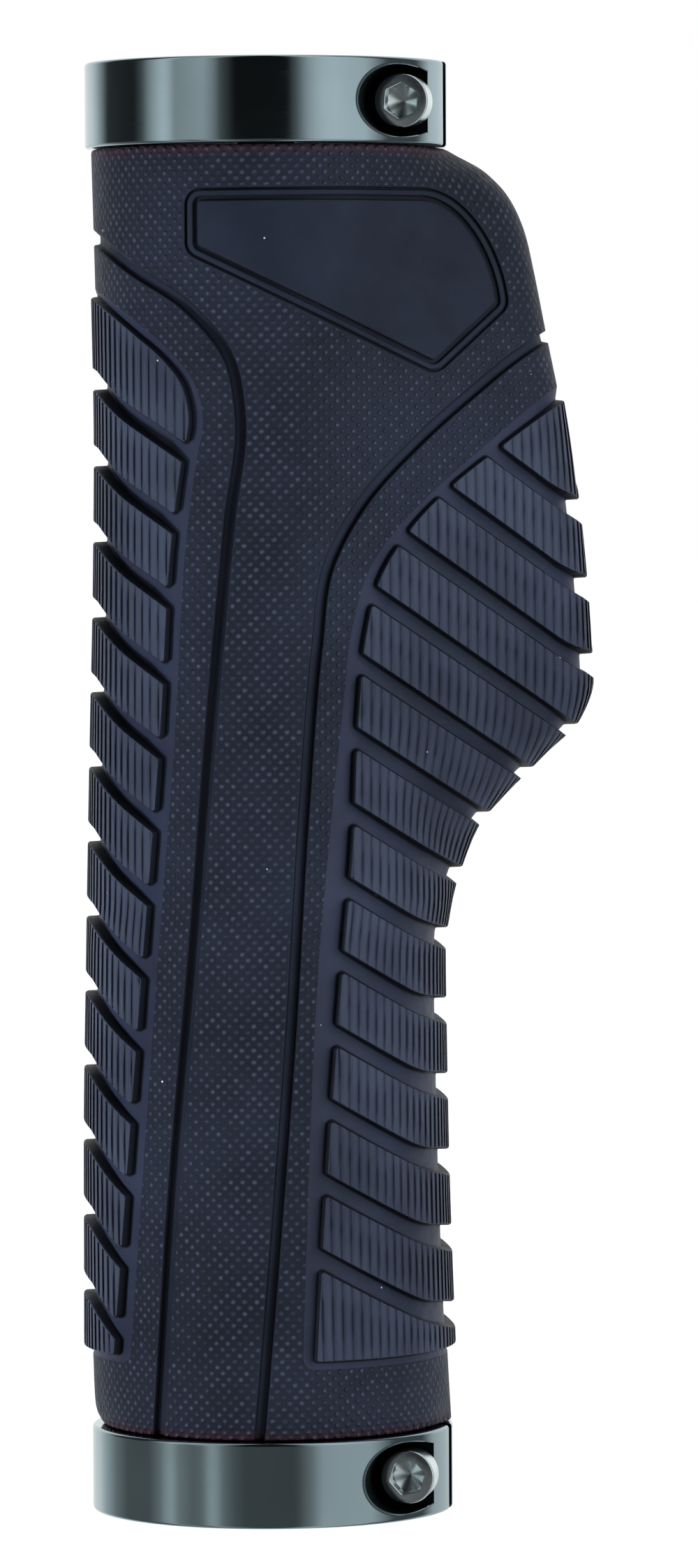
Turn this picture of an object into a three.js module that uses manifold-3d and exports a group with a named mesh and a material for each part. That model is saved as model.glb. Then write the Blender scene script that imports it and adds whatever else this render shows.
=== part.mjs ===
// Ergonomic lock-on handlebar grip: a rubber sleeve with a palm wing, moulded on a hard core,
// clamped to the bar at both ends by a split aluminium ring with a socket head screw.
// Millimetres. The origin is on the bar axis at the lower ring's bottom face, +Z runs up the bar,
// +X points out to the wing, and the side seen from the front faces -Y.
// The two halves of the sleeve's mould meet in the XZ plane, so every relief wall runs along Y
// and the back is the front's mirror image.

import * as THREE from 'three';
import { mergeVertices } from 'three/addons/utils/BufferGeometryUtils.js';
import Module from 'manifold-3d';

const wasm = await Module();
wasm.setup();

// Overall sizes
const LENGTH = 130;
const BORE_RADIUS = 11.2;
const FIT_GAP = 0.3;

// Clamp rings
const RING_HEIGHT = 7.65;
const RING_RADIUS = 16.25;
const RING_CHAMFER = 0.3;
const RING_SEGMENTS = 64;
const SPLIT_ANGLE = THREE.MathUtils.degToRad(-10);
const SPLIT_WIDTH = 1.7;

// Clamp screws, M3 with a socket head, at right angles to the split
const SCREW_OFFSET = 13.6;
const SCREW_FACE = 8.2;
const SCREW_SEGMENTS = 24;
const HEAD_RADIUS = 2.4;
const HEAD_HEIGHT = 3;
const SHANK_LENGTH = 10;
const SCREW_TIP = SCREW_FACE - HEAD_HEIGHT - SHANK_LENGTH;
const HEAD_CHAMFER = 0.2;
const SHANK_RADIUS = 1.5;
const HEX_ACROSS_FLATS = 2.6;
const HEX_DEPTH = 1.6;
const COUNTERBORE_RADIUS = 3.15;
const SCREW_HOLE_RADIUS = SHANK_RADIUS + FIT_GAP;

// Hard core, with tabs that key into the rings, none of them at the split
const CORE_RADIUS = 12.6;
const CORE_SEGMENTS = 64;
const TAB_ANGLES = [90, 180, 270];
const TAB_WIDTH = 5;
const TAB_REACH = 3;
const TAB_INNER_RADIUS = BORE_RADIUS + 0.2;

// Sleeve, almost touching both rings
const END_GAP = 0.1;
const SLEEVE_BOTTOM = RING_HEIGHT + END_GAP;
const SLEEVE_TOP = LENGTH - RING_HEIGHT - END_GAP;
const SLEEVE_BORE_RADIUS = CORE_RADIUS + FIT_GAP;
const SLEEVE_EDGE_RADIUS = 0.4;
const WING_TIP_RADIUS = 6;
const HALF_COLUMNS = 14;
const TURN_WEIGHT = 6;

// Outline of the sleeve's textured surface seen from the front, as [height, distance from the axis]
const LEFT_OUTLINE = [
  [7.75, 15.25], [8.4, 15.7], [9.3, 15.98], [11, 16.1], [16, 16.2], [32, 16.2], [51, 15.95], [70, 15.6],
  [84, 15.3], [95, 15.2], [107, 15.35], [122.25, 15.7],
];
const RIGHT_OUTLINE = [
  [7.75, 16.15], [16, 15.75], [35, 15.3], [50, 15.2], [54.5, 15.8], [58.7, 17.1], [61.5, 18.35], [64, 20.5],
  [67.8, 24.3], [71.2, 27.65], [74.5, 28.75], [78.5, 28.6], [85, 28.15], [92, 27.45], [99.4, 26.35],
  [106, 25.05], [111.4, 24.0], [114.5, 23.3], [116.7, 22.45], [118.3, 21.5], [119.7, 20.2], [120.5, 19.2],
  [121.2, 17.95], [121.8, 16.8], [122.25, 16.1],
];

// Relief: ribs stand above the textured surface, and the floors around them lie below it.
// Both change evenly between these two heights. The grooves reach down to the inner body.
const RELIEF_LOW_Z = 16;
const RELIEF_HIGH_Z = 100;
const RIB_RISE_LOW = 0.8;
const RIB_RISE_HIGH = 0.4;
const FLOOR_SINK_LOW = 0.2;
const FLOOR_SINK_HIGH = 0.9;
const FLOOR_OVERLAP = 0.2;
const GROOVE_DEPTH = 1;

// Rib fields, as points of their inner edge from the top down, in front view
const FIELD_OUTER_X = 34;
const FIELD_BOTTOM_Z = 14.8;
const FIELD_MARGIN = 0.75;
const RIGHT_FIELD_EDGE = [
  [FIELD_OUTER_X, 103.6], [25, 98.6], [20.4, 95.3], [16.2, 92], [12.6, 88.3], [9.9, 84], [8.6, 79],
  [7.9, 72], [7.3, 60], [6.3, 49], [5.4, 38], [4.6, 27], [3.9, FIELD_BOTTOM_Z],
];
const LEFT_FIELD_EDGE = [
  [-FIELD_OUTER_X, 123.6], [-14.6, 108.1], [-11.8, 105.7], [-9.2, 103.4], [-7.6, 101.3], [-6.9, 98.5],
  [-7.6, 94], [-8.3, 89], [-9.6, 70], [-11.4, 48.5], [-14.1, FIELD_BOTTOM_Z],
];
// The smooth floor is wider beside the ribs than above them
const RIGHT_FLOOR_EDGE = [
  [FIELD_OUTER_X, 105], [24.6, 99.9], [19.7, 95.9], [15.6, 92.4], [11.8, 88.7], [9, 84.8], [7.5, 80],
  [6.5, 72], [5.4, 62], [4.3, 50], [3.6, 38], [3.1, 25], [2.7, FIELD_BOTTOM_Z - FIELD_MARGIN],
];
const LEFT_FLOOR_EDGE = [
  [-FIELD_OUTER_X, 124.5], [-14.4, 109], [-11.4, 106.6], [-8.6, 104.1], [-6.6, 101.6], [-5.7, 98.4],
  [-6.35, 94], [-7.05, 89], [-8.35, 70], [-10.1, 48.5], [-12.7, FIELD_BOTTOM_Z - FIELD_MARGIN],
];

// Ribs in both fields slant down to the right. top is the first one's upper edge at atX. Close to
// the sleeve's sides their upper and lower edges bend up from the straight slant by these amounts.
const RIB_COUNT = 14;
const RIB_BEND_REACH = 3;
const RIGHT_RIBS = {
  top: 107, pitch: 6.8, height: 5, atX: 12, slope: -0.739, slopeStep: 0.0128, bendUpper: 0.35, bendLower: 0.85,
};
const LEFT_RIBS = {
  top: 105.05, pitch: 6.9, height: 5.23, atX: -13, slope: -0.68, slopeStep: -0.014, bendUpper: 0.85, bendLower: 1.05,
};

// Groove lines that bound the middle band
const GROOVE_WIDTH = 1;
const GROOVE_POINTS = 12;
const LEFT_GROOVE = [
  [-FIELD_OUTER_X, 127], [-17, 115.7], [-12.2, 111.6], [-6.9, 107.9], [-3.4, 103.5], [-2.4, 98.5], [-3.4, 89],
  [-5, 72.4], [-6.7, 51.7], [-8.6, 30.8], [-10.4, 4],
];
const RIGHT_GROOVE = [
  [FIELD_OUTER_X, 110.5], [27, 106.4], [22.6, 103.8], [18.3, 100.4], [13.2, 95.9], [8.2, 90.4], [5.3, 84.9],
  [4.3, 78], [3.1, 64], [1.8, 43.8], [0.4, 26], [-1.5, 4],
];

// Smooth pad near the top, framed by a double groove
const PAD_CORNERS = {
  topLeft: [-7.1, 118.3], topRight: [13.9, 118.4], right: [21.5, 108], foot: [15, 102], left: [-7.1, 112.8],
};
const PAD_ROUND = [[18.2, 118.3], [21.3, 112.2]];
const PAD_ROUND_SEGMENTS = 6;
const PAD_GROOVE_WIDTH = 0.4;
const PAD_GROOVE_SPACING = 0.85;

const PRISM_HALF_DEPTH = 25;

const rubber = new THREE.MeshStandardMaterial({ color: 0x262834, roughness: 0.6, metalness: 0 });
const plastic = new THREE.MeshStandardMaterial({ color: 0x1c1d20, roughness: 0.5, metalness: 0 });
const aluminium = new THREE.MeshStandardMaterial({ color: 0x8b9a9d, roughness: 0.2, metalness: 1 });
const steel = new THREE.MeshStandardMaterial({ color: 0xb4bcbf, roughness: 0.25, metalness: 1 });

// Solids

function toSolid(geometry) {
  const bare = geometry.clone();
  bare.deleteAttribute('normal');
  bare.deleteAttribute('uv');
  const merged = mergeVertices(bare, 1e-5);
  return new wasm.Manifold(new wasm.Mesh({
    numProp: 3,
    vertProperties: new Float32Array(merged.attributes.position.array),
    triVerts: new Uint32Array(merged.index.array),
  }));
}

function toMesh(name, solid, material) {
  const result = solid.getMesh();
  const geometry = new THREE.BufferGeometry();
  geometry.setAttribute('position', new THREE.BufferAttribute(new Float32Array(result.vertProperties), 3));
  geometry.setIndex(new THREE.BufferAttribute(new Uint32Array(result.triVerts), 1));
  geometry.computeVertexNormals();
  const mesh = new THREE.Mesh(geometry, material);
  mesh.name = name;
  return mesh;
}

// A lathe turned about Z, from [radius, height] points that run up the outside
function turned(profile, segments) {
  const points = profile.map(([radius, height]) => new THREE.Vector2(radius, height));
  const geometry = new THREE.LatheGeometry(points, segments);
  geometry.rotateX(Math.PI / 2);
  return geometry;
}

function cylinder(radius, bottom, top, segments) {
  return turned([[0, bottom], [radius, bottom], [radius, top], [0, top]], segments);
}

// A solid through the sleeve whose front view is the given [x, z] outline
function prism(outline) {
  const shape = new THREE.Shape(outline.map(([x, z]) => new THREE.Vector2(x, z)));
  const geometry = new THREE.ExtrudeGeometry(shape, { depth: 2 * PRISM_HALF_DEPTH, bevelEnabled: false });
  geometry.rotateX(Math.PI / 2);
  geometry.translate(0, PRISM_HALF_DEPTH, 0);
  return toSolid(geometry);
}

// Lines

// Smooth value through [position, value] points that never swings past them
function smoothLine(points) {
  const secant = (i) => (points[i + 1][1] - points[i][1]) / (points[i + 1][0] - points[i][0]);
  const last = points.length - 1;
  const slopes = points.map((point, i) => {
    if (i === 0) return secant(0);
    if (i === last) return secant(last - 1);
    const before = secant(i - 1);
    const after = secant(i);
    return before * after > 0 ? (2 * before * after) / (before + after) : 0;
  });
  return (position) => {
    const next = points.findIndex(([at]) => at >= position);
    const i = Math.min(Math.max(next - 1, 0), last - 1);
    const span = points[i + 1][0] - points[i][0];
    const t = (position - points[i][0]) / span;
    const u = 1 - t;
    return points[i][1] * (1 + 2 * t) * u * u + slopes[i] * span * t * u * u
      + points[i + 1][1] * (3 - 2 * t) * t * t - slopes[i + 1] * span * t * t * u;
  };
}

// The closed outline moved outward (or inward where the distance is negative)
function offsetOutline(outline, distance) {
  const count = outline.length;
  const area = outline.reduce((sum, [x, z], i) => {
    const [nextX, nextZ] = outline[(i + 1) % count];
    return sum + x * nextZ - nextX * z;
  }, 0);
  const outward = Math.sign(area) * distance;
  return outline.map(([x, z], i) => {
    const before = outline[(i + count - 1) % count];
    const after = outline[(i + 1) % count];
    const into = new THREE.Vector2(x - before[0], z - before[1]).normalize();
    const out = new THREE.Vector2(after[0] - x, after[1] - z).normalize();
    const mitre = new THREE.Vector2(into.y + out.y, -into.x - out.x);
    const reach = outward * 2 / mitre.lengthSq();
    return [x + mitre.x * reach, z + mitre.y * reach];
  });
}

// Sleeve

const leftOutline = smoothLine(LEFT_OUTLINE);
const rightOutline = smoothLine(RIGHT_OUTLINE);

function ribRise(z) {
  const t = THREE.MathUtils.clamp((z - RELIEF_LOW_Z) / (RELIEF_HIGH_Z - RELIEF_LOW_Z), 0, 1);
  return THREE.MathUtils.lerp(RIB_RISE_LOW, RIB_RISE_HIGH, t);
}

function floorSink(z) {
  const t = THREE.MathUtils.clamp((z - RELIEF_LOW_Z) / (RELIEF_HIGH_Z - RELIEF_LOW_Z), 0, 1);
  return THREE.MathUtils.lerp(FLOOR_SINK_LOW, FLOOR_SINK_HIGH, t);
}

// How far the rounded end edges draw the outline in
function edgeInset(z) {
  const toEnd = Math.min(z - SLEEVE_BOTTOM, SLEEVE_TOP - z);
  const short = Math.max(SLEEVE_EDGE_RADIUS - toEnd, 0);
  return SLEEVE_EDGE_RADIUS - Math.sqrt(SLEEVE_EDGE_RADIUS ** 2 - short ** 2);
}

// Front half of the section, left to right: a round body and a smaller round wing tip in one taut line
function sectionFront(z, offset) {
  const grow = offset - edgeInset(z);
  const left = leftOutline(z);
  const right = rightOutline(z);
  const bodyX = Math.min((right - left) / 2, 0);
  const body = left + bodyX + grow;
  const tip = Math.min(WING_TIP_RADIUS, body) + grow;
  const tipX = right + grow - tip;
  const steps = 180;
  const line = [];
  for (let step = 0; step <= steps; step += 1) {
    const angle = Math.PI * (1 - step / steps);
    const onTip = (tipX - bodyX) * Math.cos(angle) + tip > body;
    const centre = onTip ? tipX : bodyX;
    const radius = onTip ? tip : body;
    line.push(new THREE.Vector2(centre + radius * Math.cos(angle), -radius * Math.sin(angle)));
  }
  return spacedPoints(line, HALF_COLUMNS);
}

// Points along the line, closer together where it turns; each of its steps turns by the same angle
function spacedPoints(line, count) {
  const turn = TURN_WEIGHT * Math.PI / (line.length - 1);
  const along = [0];
  line.slice(1).forEach((point, i) => along.push(along[i] + point.distanceTo(line[i]) + turn));
  const total = along[along.length - 1];
  let segment = 0;
  return Array.from({ length: count + 1 }, (unused, i) => {
    const target = total * i / count;
    while (segment < line.length - 2 && along[segment + 1] < target) segment += 1;
    const t = (target - along[segment]) / (along[segment + 1] - along[segment]);
    return line[segment].clone().lerp(line[segment + 1], t);
  });
}

// Heights of the loft's sections
const SLEEVE_LEVELS = [
  SLEEVE_BOTTOM, SLEEVE_BOTTOM + 0.12, SLEEVE_BOTTOM + SLEEVE_EDGE_RADIUS, 9.3, 17, 34, 50, 55, 59, 62.5,
  67, 71.5, 74.5, 84, 97, 108, 113, 116, 118.3, 119.7, 121, SLEEVE_TOP - SLEEVE_EDGE_RADIUS,
  SLEEVE_TOP - 0.12, SLEEVE_TOP,
];

// The whole sleeve outside, moved out from the textured surface by offsetAt(height)
function loft(offsetAt) {
  const columns = 2 * HALF_COLUMNS;
  const positions = [];
  SLEEVE_LEVELS.forEach((z) => {
    const front = sectionFront(z, offsetAt(z));
    const back = front.slice(1, -1).reverse().map((point) => new THREE.Vector2(point.x, -point.y));
    [...front, ...back].forEach((point) => positions.push(point.x, point.y, z));
  });
  const topRow = (SLEEVE_LEVELS.length - 1) * columns;
  const index = [];
  for (let row = 0; row < topRow; row += columns) {
    for (let column = 0; column < columns; column += 1) {
      const a = row + column;
      const b = row + (column + 1) % columns;
      index.push(a, b, b + columns, a, b + columns, a + columns);
    }
  }
  for (let column = 1; column < columns - 1; column += 1) {
    index.push(0, column + 1, column);
    index.push(topRow, topRow + column, topRow + column + 1);
  }
  const geometry = new THREE.BufferGeometry();
  geometry.setAttribute('position', new THREE.Float32BufferAttribute(positions, 3));
  geometry.setIndex(index);
  return toSolid(geometry);
}

// A field's edge line closed around the side of the sleeve
function field(edge) {
  const [startX] = edge[0];
  const [, bottom] = edge[edge.length - 1];
  return [...edge, [startX, bottom]];
}

// A slanted line across a field, from its inner end to past the sleeve's side, as [x, z] points
function ribLine(ribs, slope, height, bend) {
  const side = Math.sign(ribs.atX);
  const outline = side > 0 ? rightOutline : leftOutline;
  const straight = (x) => height + slope * (x - ribs.atX);
  const outlineAt = (x) => outline(THREE.MathUtils.clamp(straight(x), SLEEVE_BOTTOM, SLEEVE_TOP));
  const sideX = Array.from({ length: 4 }).reduce((x) => side * outlineAt(x), ribs.atX);
  const bent = [1, 0.5, 0].map((share) => {
    const x = sideX - side * share * RIB_BEND_REACH;
    return [x, straight(x) + bend * (1 - share) ** 2];
  });
  const farX = side * FIELD_OUTER_X;
  return [[0, straight(0)], ...bent, [farX, straight(farX) + bend]];
}

// Slanted bands across a field. The first and the last run on to the field's own edge.
function ribBands(ribs) {
  const bands = Array.from({ length: RIB_COUNT }, (unused, i) => {
    const slope = ribs.slope + ribs.slopeStep * i;
    const top = ribs.top - i * ribs.pitch;
    const upper = i === 0 ? top + ribs.pitch : top;
    const lower = i === RIB_COUNT - 1 ? top - 2 * ribs.pitch : top - ribs.height;
    const upperLine = ribLine(ribs, slope, upper, ribs.bendUpper);
    return prism([...ribLine(ribs, slope, lower, ribs.bendLower), ...upperLine.reverse()]);
  });
  return wasm.Manifold.union(bands);
}

// A groove of constant width along a smooth line through [x, z] points
function groove(points) {
  const curve = new THREE.SplineCurve(points.map(([x, z]) => new THREE.Vector2(x, z)));
  const side = (sign) => Array.from({ length: GROOVE_POINTS + 1 }, (unused, i) => {
    const at = i / GROOVE_POINTS;
    const point = curve.getPointAt(at);
    const tangent = curve.getTangentAt(at);
    return [point.x - sign * tangent.y * GROOVE_WIDTH / 2, point.y + sign * tangent.x * GROOVE_WIDTH / 2];
  });
  return prism([...side(1), ...side(-1).reverse()]);
}

function padOutline() {
  const at = ([x, z]) => new THREE.Vector2(x, z);
  const round = new THREE.CubicBezierCurve(
    at(PAD_CORNERS.topRight), at(PAD_ROUND[0]), at(PAD_ROUND[1]), at(PAD_CORNERS.right),
  );
  const roundPoints = round.getPoints(PAD_ROUND_SEGMENTS).map((point) => [point.x, point.y]);
  return [PAD_CORNERS.topLeft, ...roundPoints, PAD_CORNERS.foot, PAD_CORNERS.left];
}

function padGroove(inset) {
  const outer = prism(offsetOutline(padOutline(), PAD_GROOVE_WIDTH / 2 - inset));
  const inner = prism(offsetOutline(padOutline(), -PAD_GROOVE_WIDTH / 2 - inset));
  return outer.subtract(inner);
}

function rubberSleeve() {
  const ribs = wasm.Manifold.union([
    prism(field(RIGHT_FIELD_EDGE)).intersect(ribBands(RIGHT_RIBS)),
    prism(field(LEFT_FIELD_EDGE)).intersect(ribBands(LEFT_RIBS)),
  ]);
  const floorPrisms = (margin) => wasm.Manifold.union([
    prism(offsetOutline(field(RIGHT_FLOOR_EDGE), margin)),
    prism(offsetOutline(field(LEFT_FLOOR_EDGE), margin)),
  ]);
  const sunk = wasm.Manifold.union([
    floorPrisms(0),
    groove(LEFT_GROOVE),
    groove(RIGHT_GROOVE),
    padGroove(0),
    padGroove(PAD_GROOVE_SPACING),
  ]);
  const innerBody = loft(() => -GROOVE_DEPTH);
  const textured = loft(() => 0).subtract(sunk);
  const floors = loft((z) => -floorSink(z)).intersect(floorPrisms(FLOOR_OVERLAP));
  const ribbed = loft(ribRise).intersect(ribs);
  const bore = toSolid(cylinder(SLEEVE_BORE_RADIUS, 0, LENGTH, CORE_SEGMENTS));
  const outside = wasm.Manifold.union([innerBody, textured, floors, ribbed]);
  return toMesh('rubber_sleeve', outside.subtract(bore), rubber);
}

// Core

function tabBox(angle, clearance, bottom, top) {
  const thickness = CORE_RADIUS + clearance - (TAB_INNER_RADIUS - clearance);
  const box = new THREE.BoxGeometry(thickness, TAB_WIDTH + 2 * clearance, top - bottom);
  box.translate(TAB_INNER_RADIUS - clearance + thickness / 2, 0, (top + bottom) / 2);
  box.rotateZ(THREE.MathUtils.degToRad(angle));
  return toSolid(box);
}

function coreTube() {
  const wall = turned([
    [BORE_RADIUS, SLEEVE_BOTTOM], [CORE_RADIUS, SLEEVE_BOTTOM],
    [CORE_RADIUS, SLEEVE_TOP], [BORE_RADIUS, SLEEVE_TOP], [BORE_RADIUS, SLEEVE_BOTTOM],
  ], CORE_SEGMENTS);
  const tabs = TAB_ANGLES.flatMap((angle) => [
    tabBox(angle, 0, SLEEVE_BOTTOM - TAB_REACH, SLEEVE_BOTTOM + 1),
    tabBox(angle, 0, SLEEVE_TOP - 1, SLEEVE_TOP + TAB_REACH),
  ]);
  return toMesh('core_tube', wasm.Manifold.union([toSolid(wall), ...tabs]), plastic);
}

// Rings and screws, in a ring's own frame: its bottom face at height 0

// Turns a shape made along +Z so that it lies along the screw, seen from the split's plane
function alongScrew(geometry) {
  geometry.rotateX(Math.PI / 2);
  geometry.translate(SCREW_OFFSET, 0, RING_HEIGHT / 2);
  geometry.rotateZ(SPLIT_ANGLE);
  return toSolid(geometry);
}

function clampRing(name, baseZ, tabSide) {
  const body = turned([
    [BORE_RADIUS, 0], [RING_RADIUS - RING_CHAMFER, 0], [RING_RADIUS, RING_CHAMFER],
    [RING_RADIUS, RING_HEIGHT - RING_CHAMFER], [RING_RADIUS - RING_CHAMFER, RING_HEIGHT],
    [BORE_RADIUS, RING_HEIGHT], [BORE_RADIUS, 0],
  ], RING_SEGMENTS);
  const split = new THREE.BoxGeometry(RING_RADIUS, SPLIT_WIDTH, 2 * RING_HEIGHT);
  split.translate(RING_RADIUS, 0, RING_HEIGHT / 2);
  split.rotateZ(SPLIT_ANGLE);
  const headFloor = SCREW_FACE - HEAD_HEIGHT - FIT_GAP;
  const counterbore = cylinder(COUNTERBORE_RADIUS, headFloor, 2 * RING_RADIUS, SCREW_SEGMENTS);
  const hole = cylinder(SCREW_HOLE_RADIUS, SCREW_TIP - FIT_GAP, headFloor + 1, SCREW_SEGMENTS);
  const notchReach = TAB_REACH + 2 * FIT_GAP;
  const notchBottom = tabSide > 0 ? RING_HEIGHT - notchReach : -1;
  const notchTop = tabSide > 0 ? RING_HEIGHT + 1 : notchReach;
  const notches = TAB_ANGLES.map((angle) => tabBox(angle, FIT_GAP, notchBottom, notchTop));
  const cuts = wasm.Manifold.union([toSolid(split), alongScrew(counterbore), alongScrew(hole), ...notches]);
  const mesh = toMesh(name, toSolid(body).subtract(cuts), aluminium);
  mesh.position.z = baseZ;
  return mesh;
}

function clampScrew(name, baseZ) {
  const headBottom = SCREW_FACE - HEAD_HEIGHT;
  const body = turned([
    [0, SCREW_TIP], [SHANK_RADIUS, SCREW_TIP], [SHANK_RADIUS, headBottom], [HEAD_RADIUS, headBottom],
    [HEAD_RADIUS, SCREW_FACE - HEAD_CHAMFER], [HEAD_RADIUS - HEAD_CHAMFER, SCREW_FACE], [0, SCREW_FACE],
  ], SCREW_SEGMENTS);
  const hexRadius = HEX_ACROSS_FLATS / 2 / Math.cos(Math.PI / 6);
  const socket = cylinder(hexRadius, SCREW_FACE - HEX_DEPTH, SCREW_FACE + 1, 6);
  const mesh = toMesh(name, alongScrew(body).subtract(alongScrew(socket)), steel);
  mesh.position.z = baseZ;
  return mesh;
}

const grip = new THREE.Group();
grip.add(rubberSleeve());
grip.add(coreTube());
grip.add(clampRing('lower_clamp_ring', 0, 1));
grip.add(clampRing('upper_clamp_ring', LENGTH - RING_HEIGHT, -1));
grip.add(clampScrew('lower_clamp_screw', 0));
grip.add(clampScrew('upper_clamp_screw', LENGTH - RING_HEIGHT));

export default grip;
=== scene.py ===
"""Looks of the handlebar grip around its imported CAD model: camera, stage, sleeve, rings, screws.

Lengths in the shape code are millimetres in the CAD frame. put() turns them into metres.
The sleeve's relief is laid out in a front view (x, z) of its surface, and its walls go in square
to that surface. One half is built and the other is its mirror image.
"""

import math

import bmesh
import bpy
import numpy as np
from mathutils import Matrix, Vector
from mathutils.geometry import delaunay_2d_cdt


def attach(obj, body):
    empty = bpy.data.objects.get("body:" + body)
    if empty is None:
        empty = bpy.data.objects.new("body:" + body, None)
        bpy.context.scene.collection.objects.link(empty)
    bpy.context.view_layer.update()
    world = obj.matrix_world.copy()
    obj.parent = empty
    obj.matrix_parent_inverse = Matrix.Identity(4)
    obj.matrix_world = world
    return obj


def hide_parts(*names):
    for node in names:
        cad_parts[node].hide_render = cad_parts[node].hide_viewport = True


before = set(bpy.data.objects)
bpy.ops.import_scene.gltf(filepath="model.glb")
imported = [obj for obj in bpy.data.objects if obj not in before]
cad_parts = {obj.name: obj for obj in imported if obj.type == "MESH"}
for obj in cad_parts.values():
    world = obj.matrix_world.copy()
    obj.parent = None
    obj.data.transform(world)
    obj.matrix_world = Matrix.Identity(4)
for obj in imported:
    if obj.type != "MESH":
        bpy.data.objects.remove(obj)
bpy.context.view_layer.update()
MM = 0.001

# Overall sizes, as in the part but for the sleeve's sharper end edges
LENGTH = 130.0
BORE_RADIUS = 11.2
RING_HEIGHT = 7.65
RING_RADIUS = 16.25
SLEEVE_BOTTOM = 7.75
SLEEVE_TOP = 122.25
SLEEVE_BORE_RADIUS = 12.9
SLEEVE_EDGE_RADIUS = 0.25
WING_TIP_RADIUS = 6.0

# Clamp rings and screws, in a frame turned by SPLIT_ANGLE with the split on +X
SPLIT_ANGLE = math.radians(-10)
SPLIT_WIDTH = 1.7
SCREW_OFFSET = 13.6
SCREW_FACE = 8.2
HEAD_RADIUS = 2.4
HEAD_HEIGHT = 3.0
SHANK_RADIUS = 1.5
SCREW_TIP = -4.8
HEX_ACROSS_FLATS = 2.85
HEX_DEPTH = 1.6
HEX_EDGE = 0.06
CENTRE_RADIUS = 0.01
POCKET_RADIUS = 3.15
POCKET_FLOOR = 4.9
POCKET_EDGE_RADIUS = 0.25
SHANK_HOLE_RADIUS = 1.8
RING_RIM = 0.3
BORE_CHAMFER = 0.2
TAB_ANGLES = (90, 180, 270)
NOTCH_WIDTH = 5.6
NOTCH_DEPTH = 3.6
NOTCH_INNER, NOTCH_OUTER = 11.1, 12.9

# Outline of the sleeve's dotted surface in front view: height, distance from the axis
LEFT_OUTLINE = [
    (7.75, 15.25), (8.4, 15.7), (9.3, 15.98), (11, 16.1), (16, 16.2), (32, 16.2), (51, 15.95), (70, 15.6),
    (84, 15.3), (95, 15.2), (107, 15.35), (122.25, 15.7),
]
RIGHT_OUTLINE = [
    (7.75, 16.15), (16, 15.75), (35, 15.3), (50, 15.2), (54.5, 15.8), (58.7, 17.1), (61.5, 18.35),
    (64, 20.5), (67.8, 24.3), (71.2, 27.65), (74.5, 28.75), (78.5, 28.6), (85, 28.15), (92, 27.45),
    (99.4, 26.35), (106, 25.05), (111.4, 24), (114.5, 23.3), (116.7, 22.45), (118.3, 21.5), (119.7, 20.2),
    (120.5, 19.2), (121.2, 17.95), (121.8, 16.8), (122.25, 16.1),
]

# Relief: how far the ribs rise above the dotted surface and the floors lie below it, at two heights.
# A floor ramps up to the surface within FLOOR_RAMP of its edge. Walls lean by a share of their depth.
RELIEF_LOW_Z = 16.0
RELIEF_HIGH_Z = 100.0
RIB_RISE_LOW = 0.8
RIB_RISE_HIGH = 0.4
FLOOR_SINK_LOW = 0.2
FLOOR_SINK_HIGH = 0.9
FLOOR_RAMP = 3.0
GROOVE_DEPTH = 0.6
WALL_LEAN = 0.4

# Rib fields: inner edge of the ribs and of the smooth floor around them, from the top down
FAR_X = 34.0
FIELD_BOTTOM_Z = 14.8
FLOOR_BOTTOM_Z = 14.05
RIGHT_FIELD_EDGE = [
    (FAR_X, 103.6), (25, 98.6), (20.4, 95.3), (16.2, 92), (12.6, 88.3), (9.9, 84), (8.6, 79),
    (7.9, 72), (7.3, 60), (6.3, 49), (5.4, 38), (4.6, 27), (3.9, FIELD_BOTTOM_Z),
]
LEFT_FIELD_EDGE = [
    (-FAR_X, 123.6), (-14.6, 108.1), (-11.8, 105.7), (-9.2, 103.4), (-7.6, 101.3), (-6.9, 98.5),
    (-7.6, 94), (-8.3, 89), (-9.6, 70), (-11.4, 48.5), (-14.1, FIELD_BOTTOM_Z),
]
RIGHT_FLOOR_EDGE = [
    (FAR_X, 105), (24.6, 99.9), (19.7, 95.9), (15.6, 92.4), (11.8, 88.7), (9, 84.8), (7.5, 80),
    (6.5, 72), (5.4, 62), (4.3, 50), (3.6, 38), (3.1, 25), (2.7, FLOOR_BOTTOM_Z),
]
LEFT_FLOOR_EDGE = [
    (-FAR_X, 124.5), (-14.4, 109), (-11.4, 106.6), (-8.6, 104.1), (-6.6, 101.6), (-5.7, 98.4),
    (-6.35, 94), (-7.05, 89), (-8.35, 70), (-10.1, 48.5), (-12.7, FLOOR_BOTTOM_Z),
]
RIB_COUNT = 14
CORNER_RADIUS = 0.28

# Ribs: top is where the first one's upper edge passes at_x, step is the change of slope per rib, and
# both edges bend up towards the outline, less where the outline flares
RIB_BEND_REACH = 3.0
RIB_BEND_FLARE = 0.4
RIGHT_RIBS = {
    "top": 107.0, "pitch": 6.8, "height": 5.0, "at_x": 12.0, "slope": -0.739, "step": 0.0128,
    "bend_upper": 0.35, "bend_lower": 0.85,
}
LEFT_RIBS = {
    "top": 105.05, "pitch": 6.9, "height": 5.23, "at_x": -13.0, "slope": -0.68, "step": -0.014,
    "bend_upper": 0.85, "bend_lower": 1.05,
}

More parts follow.
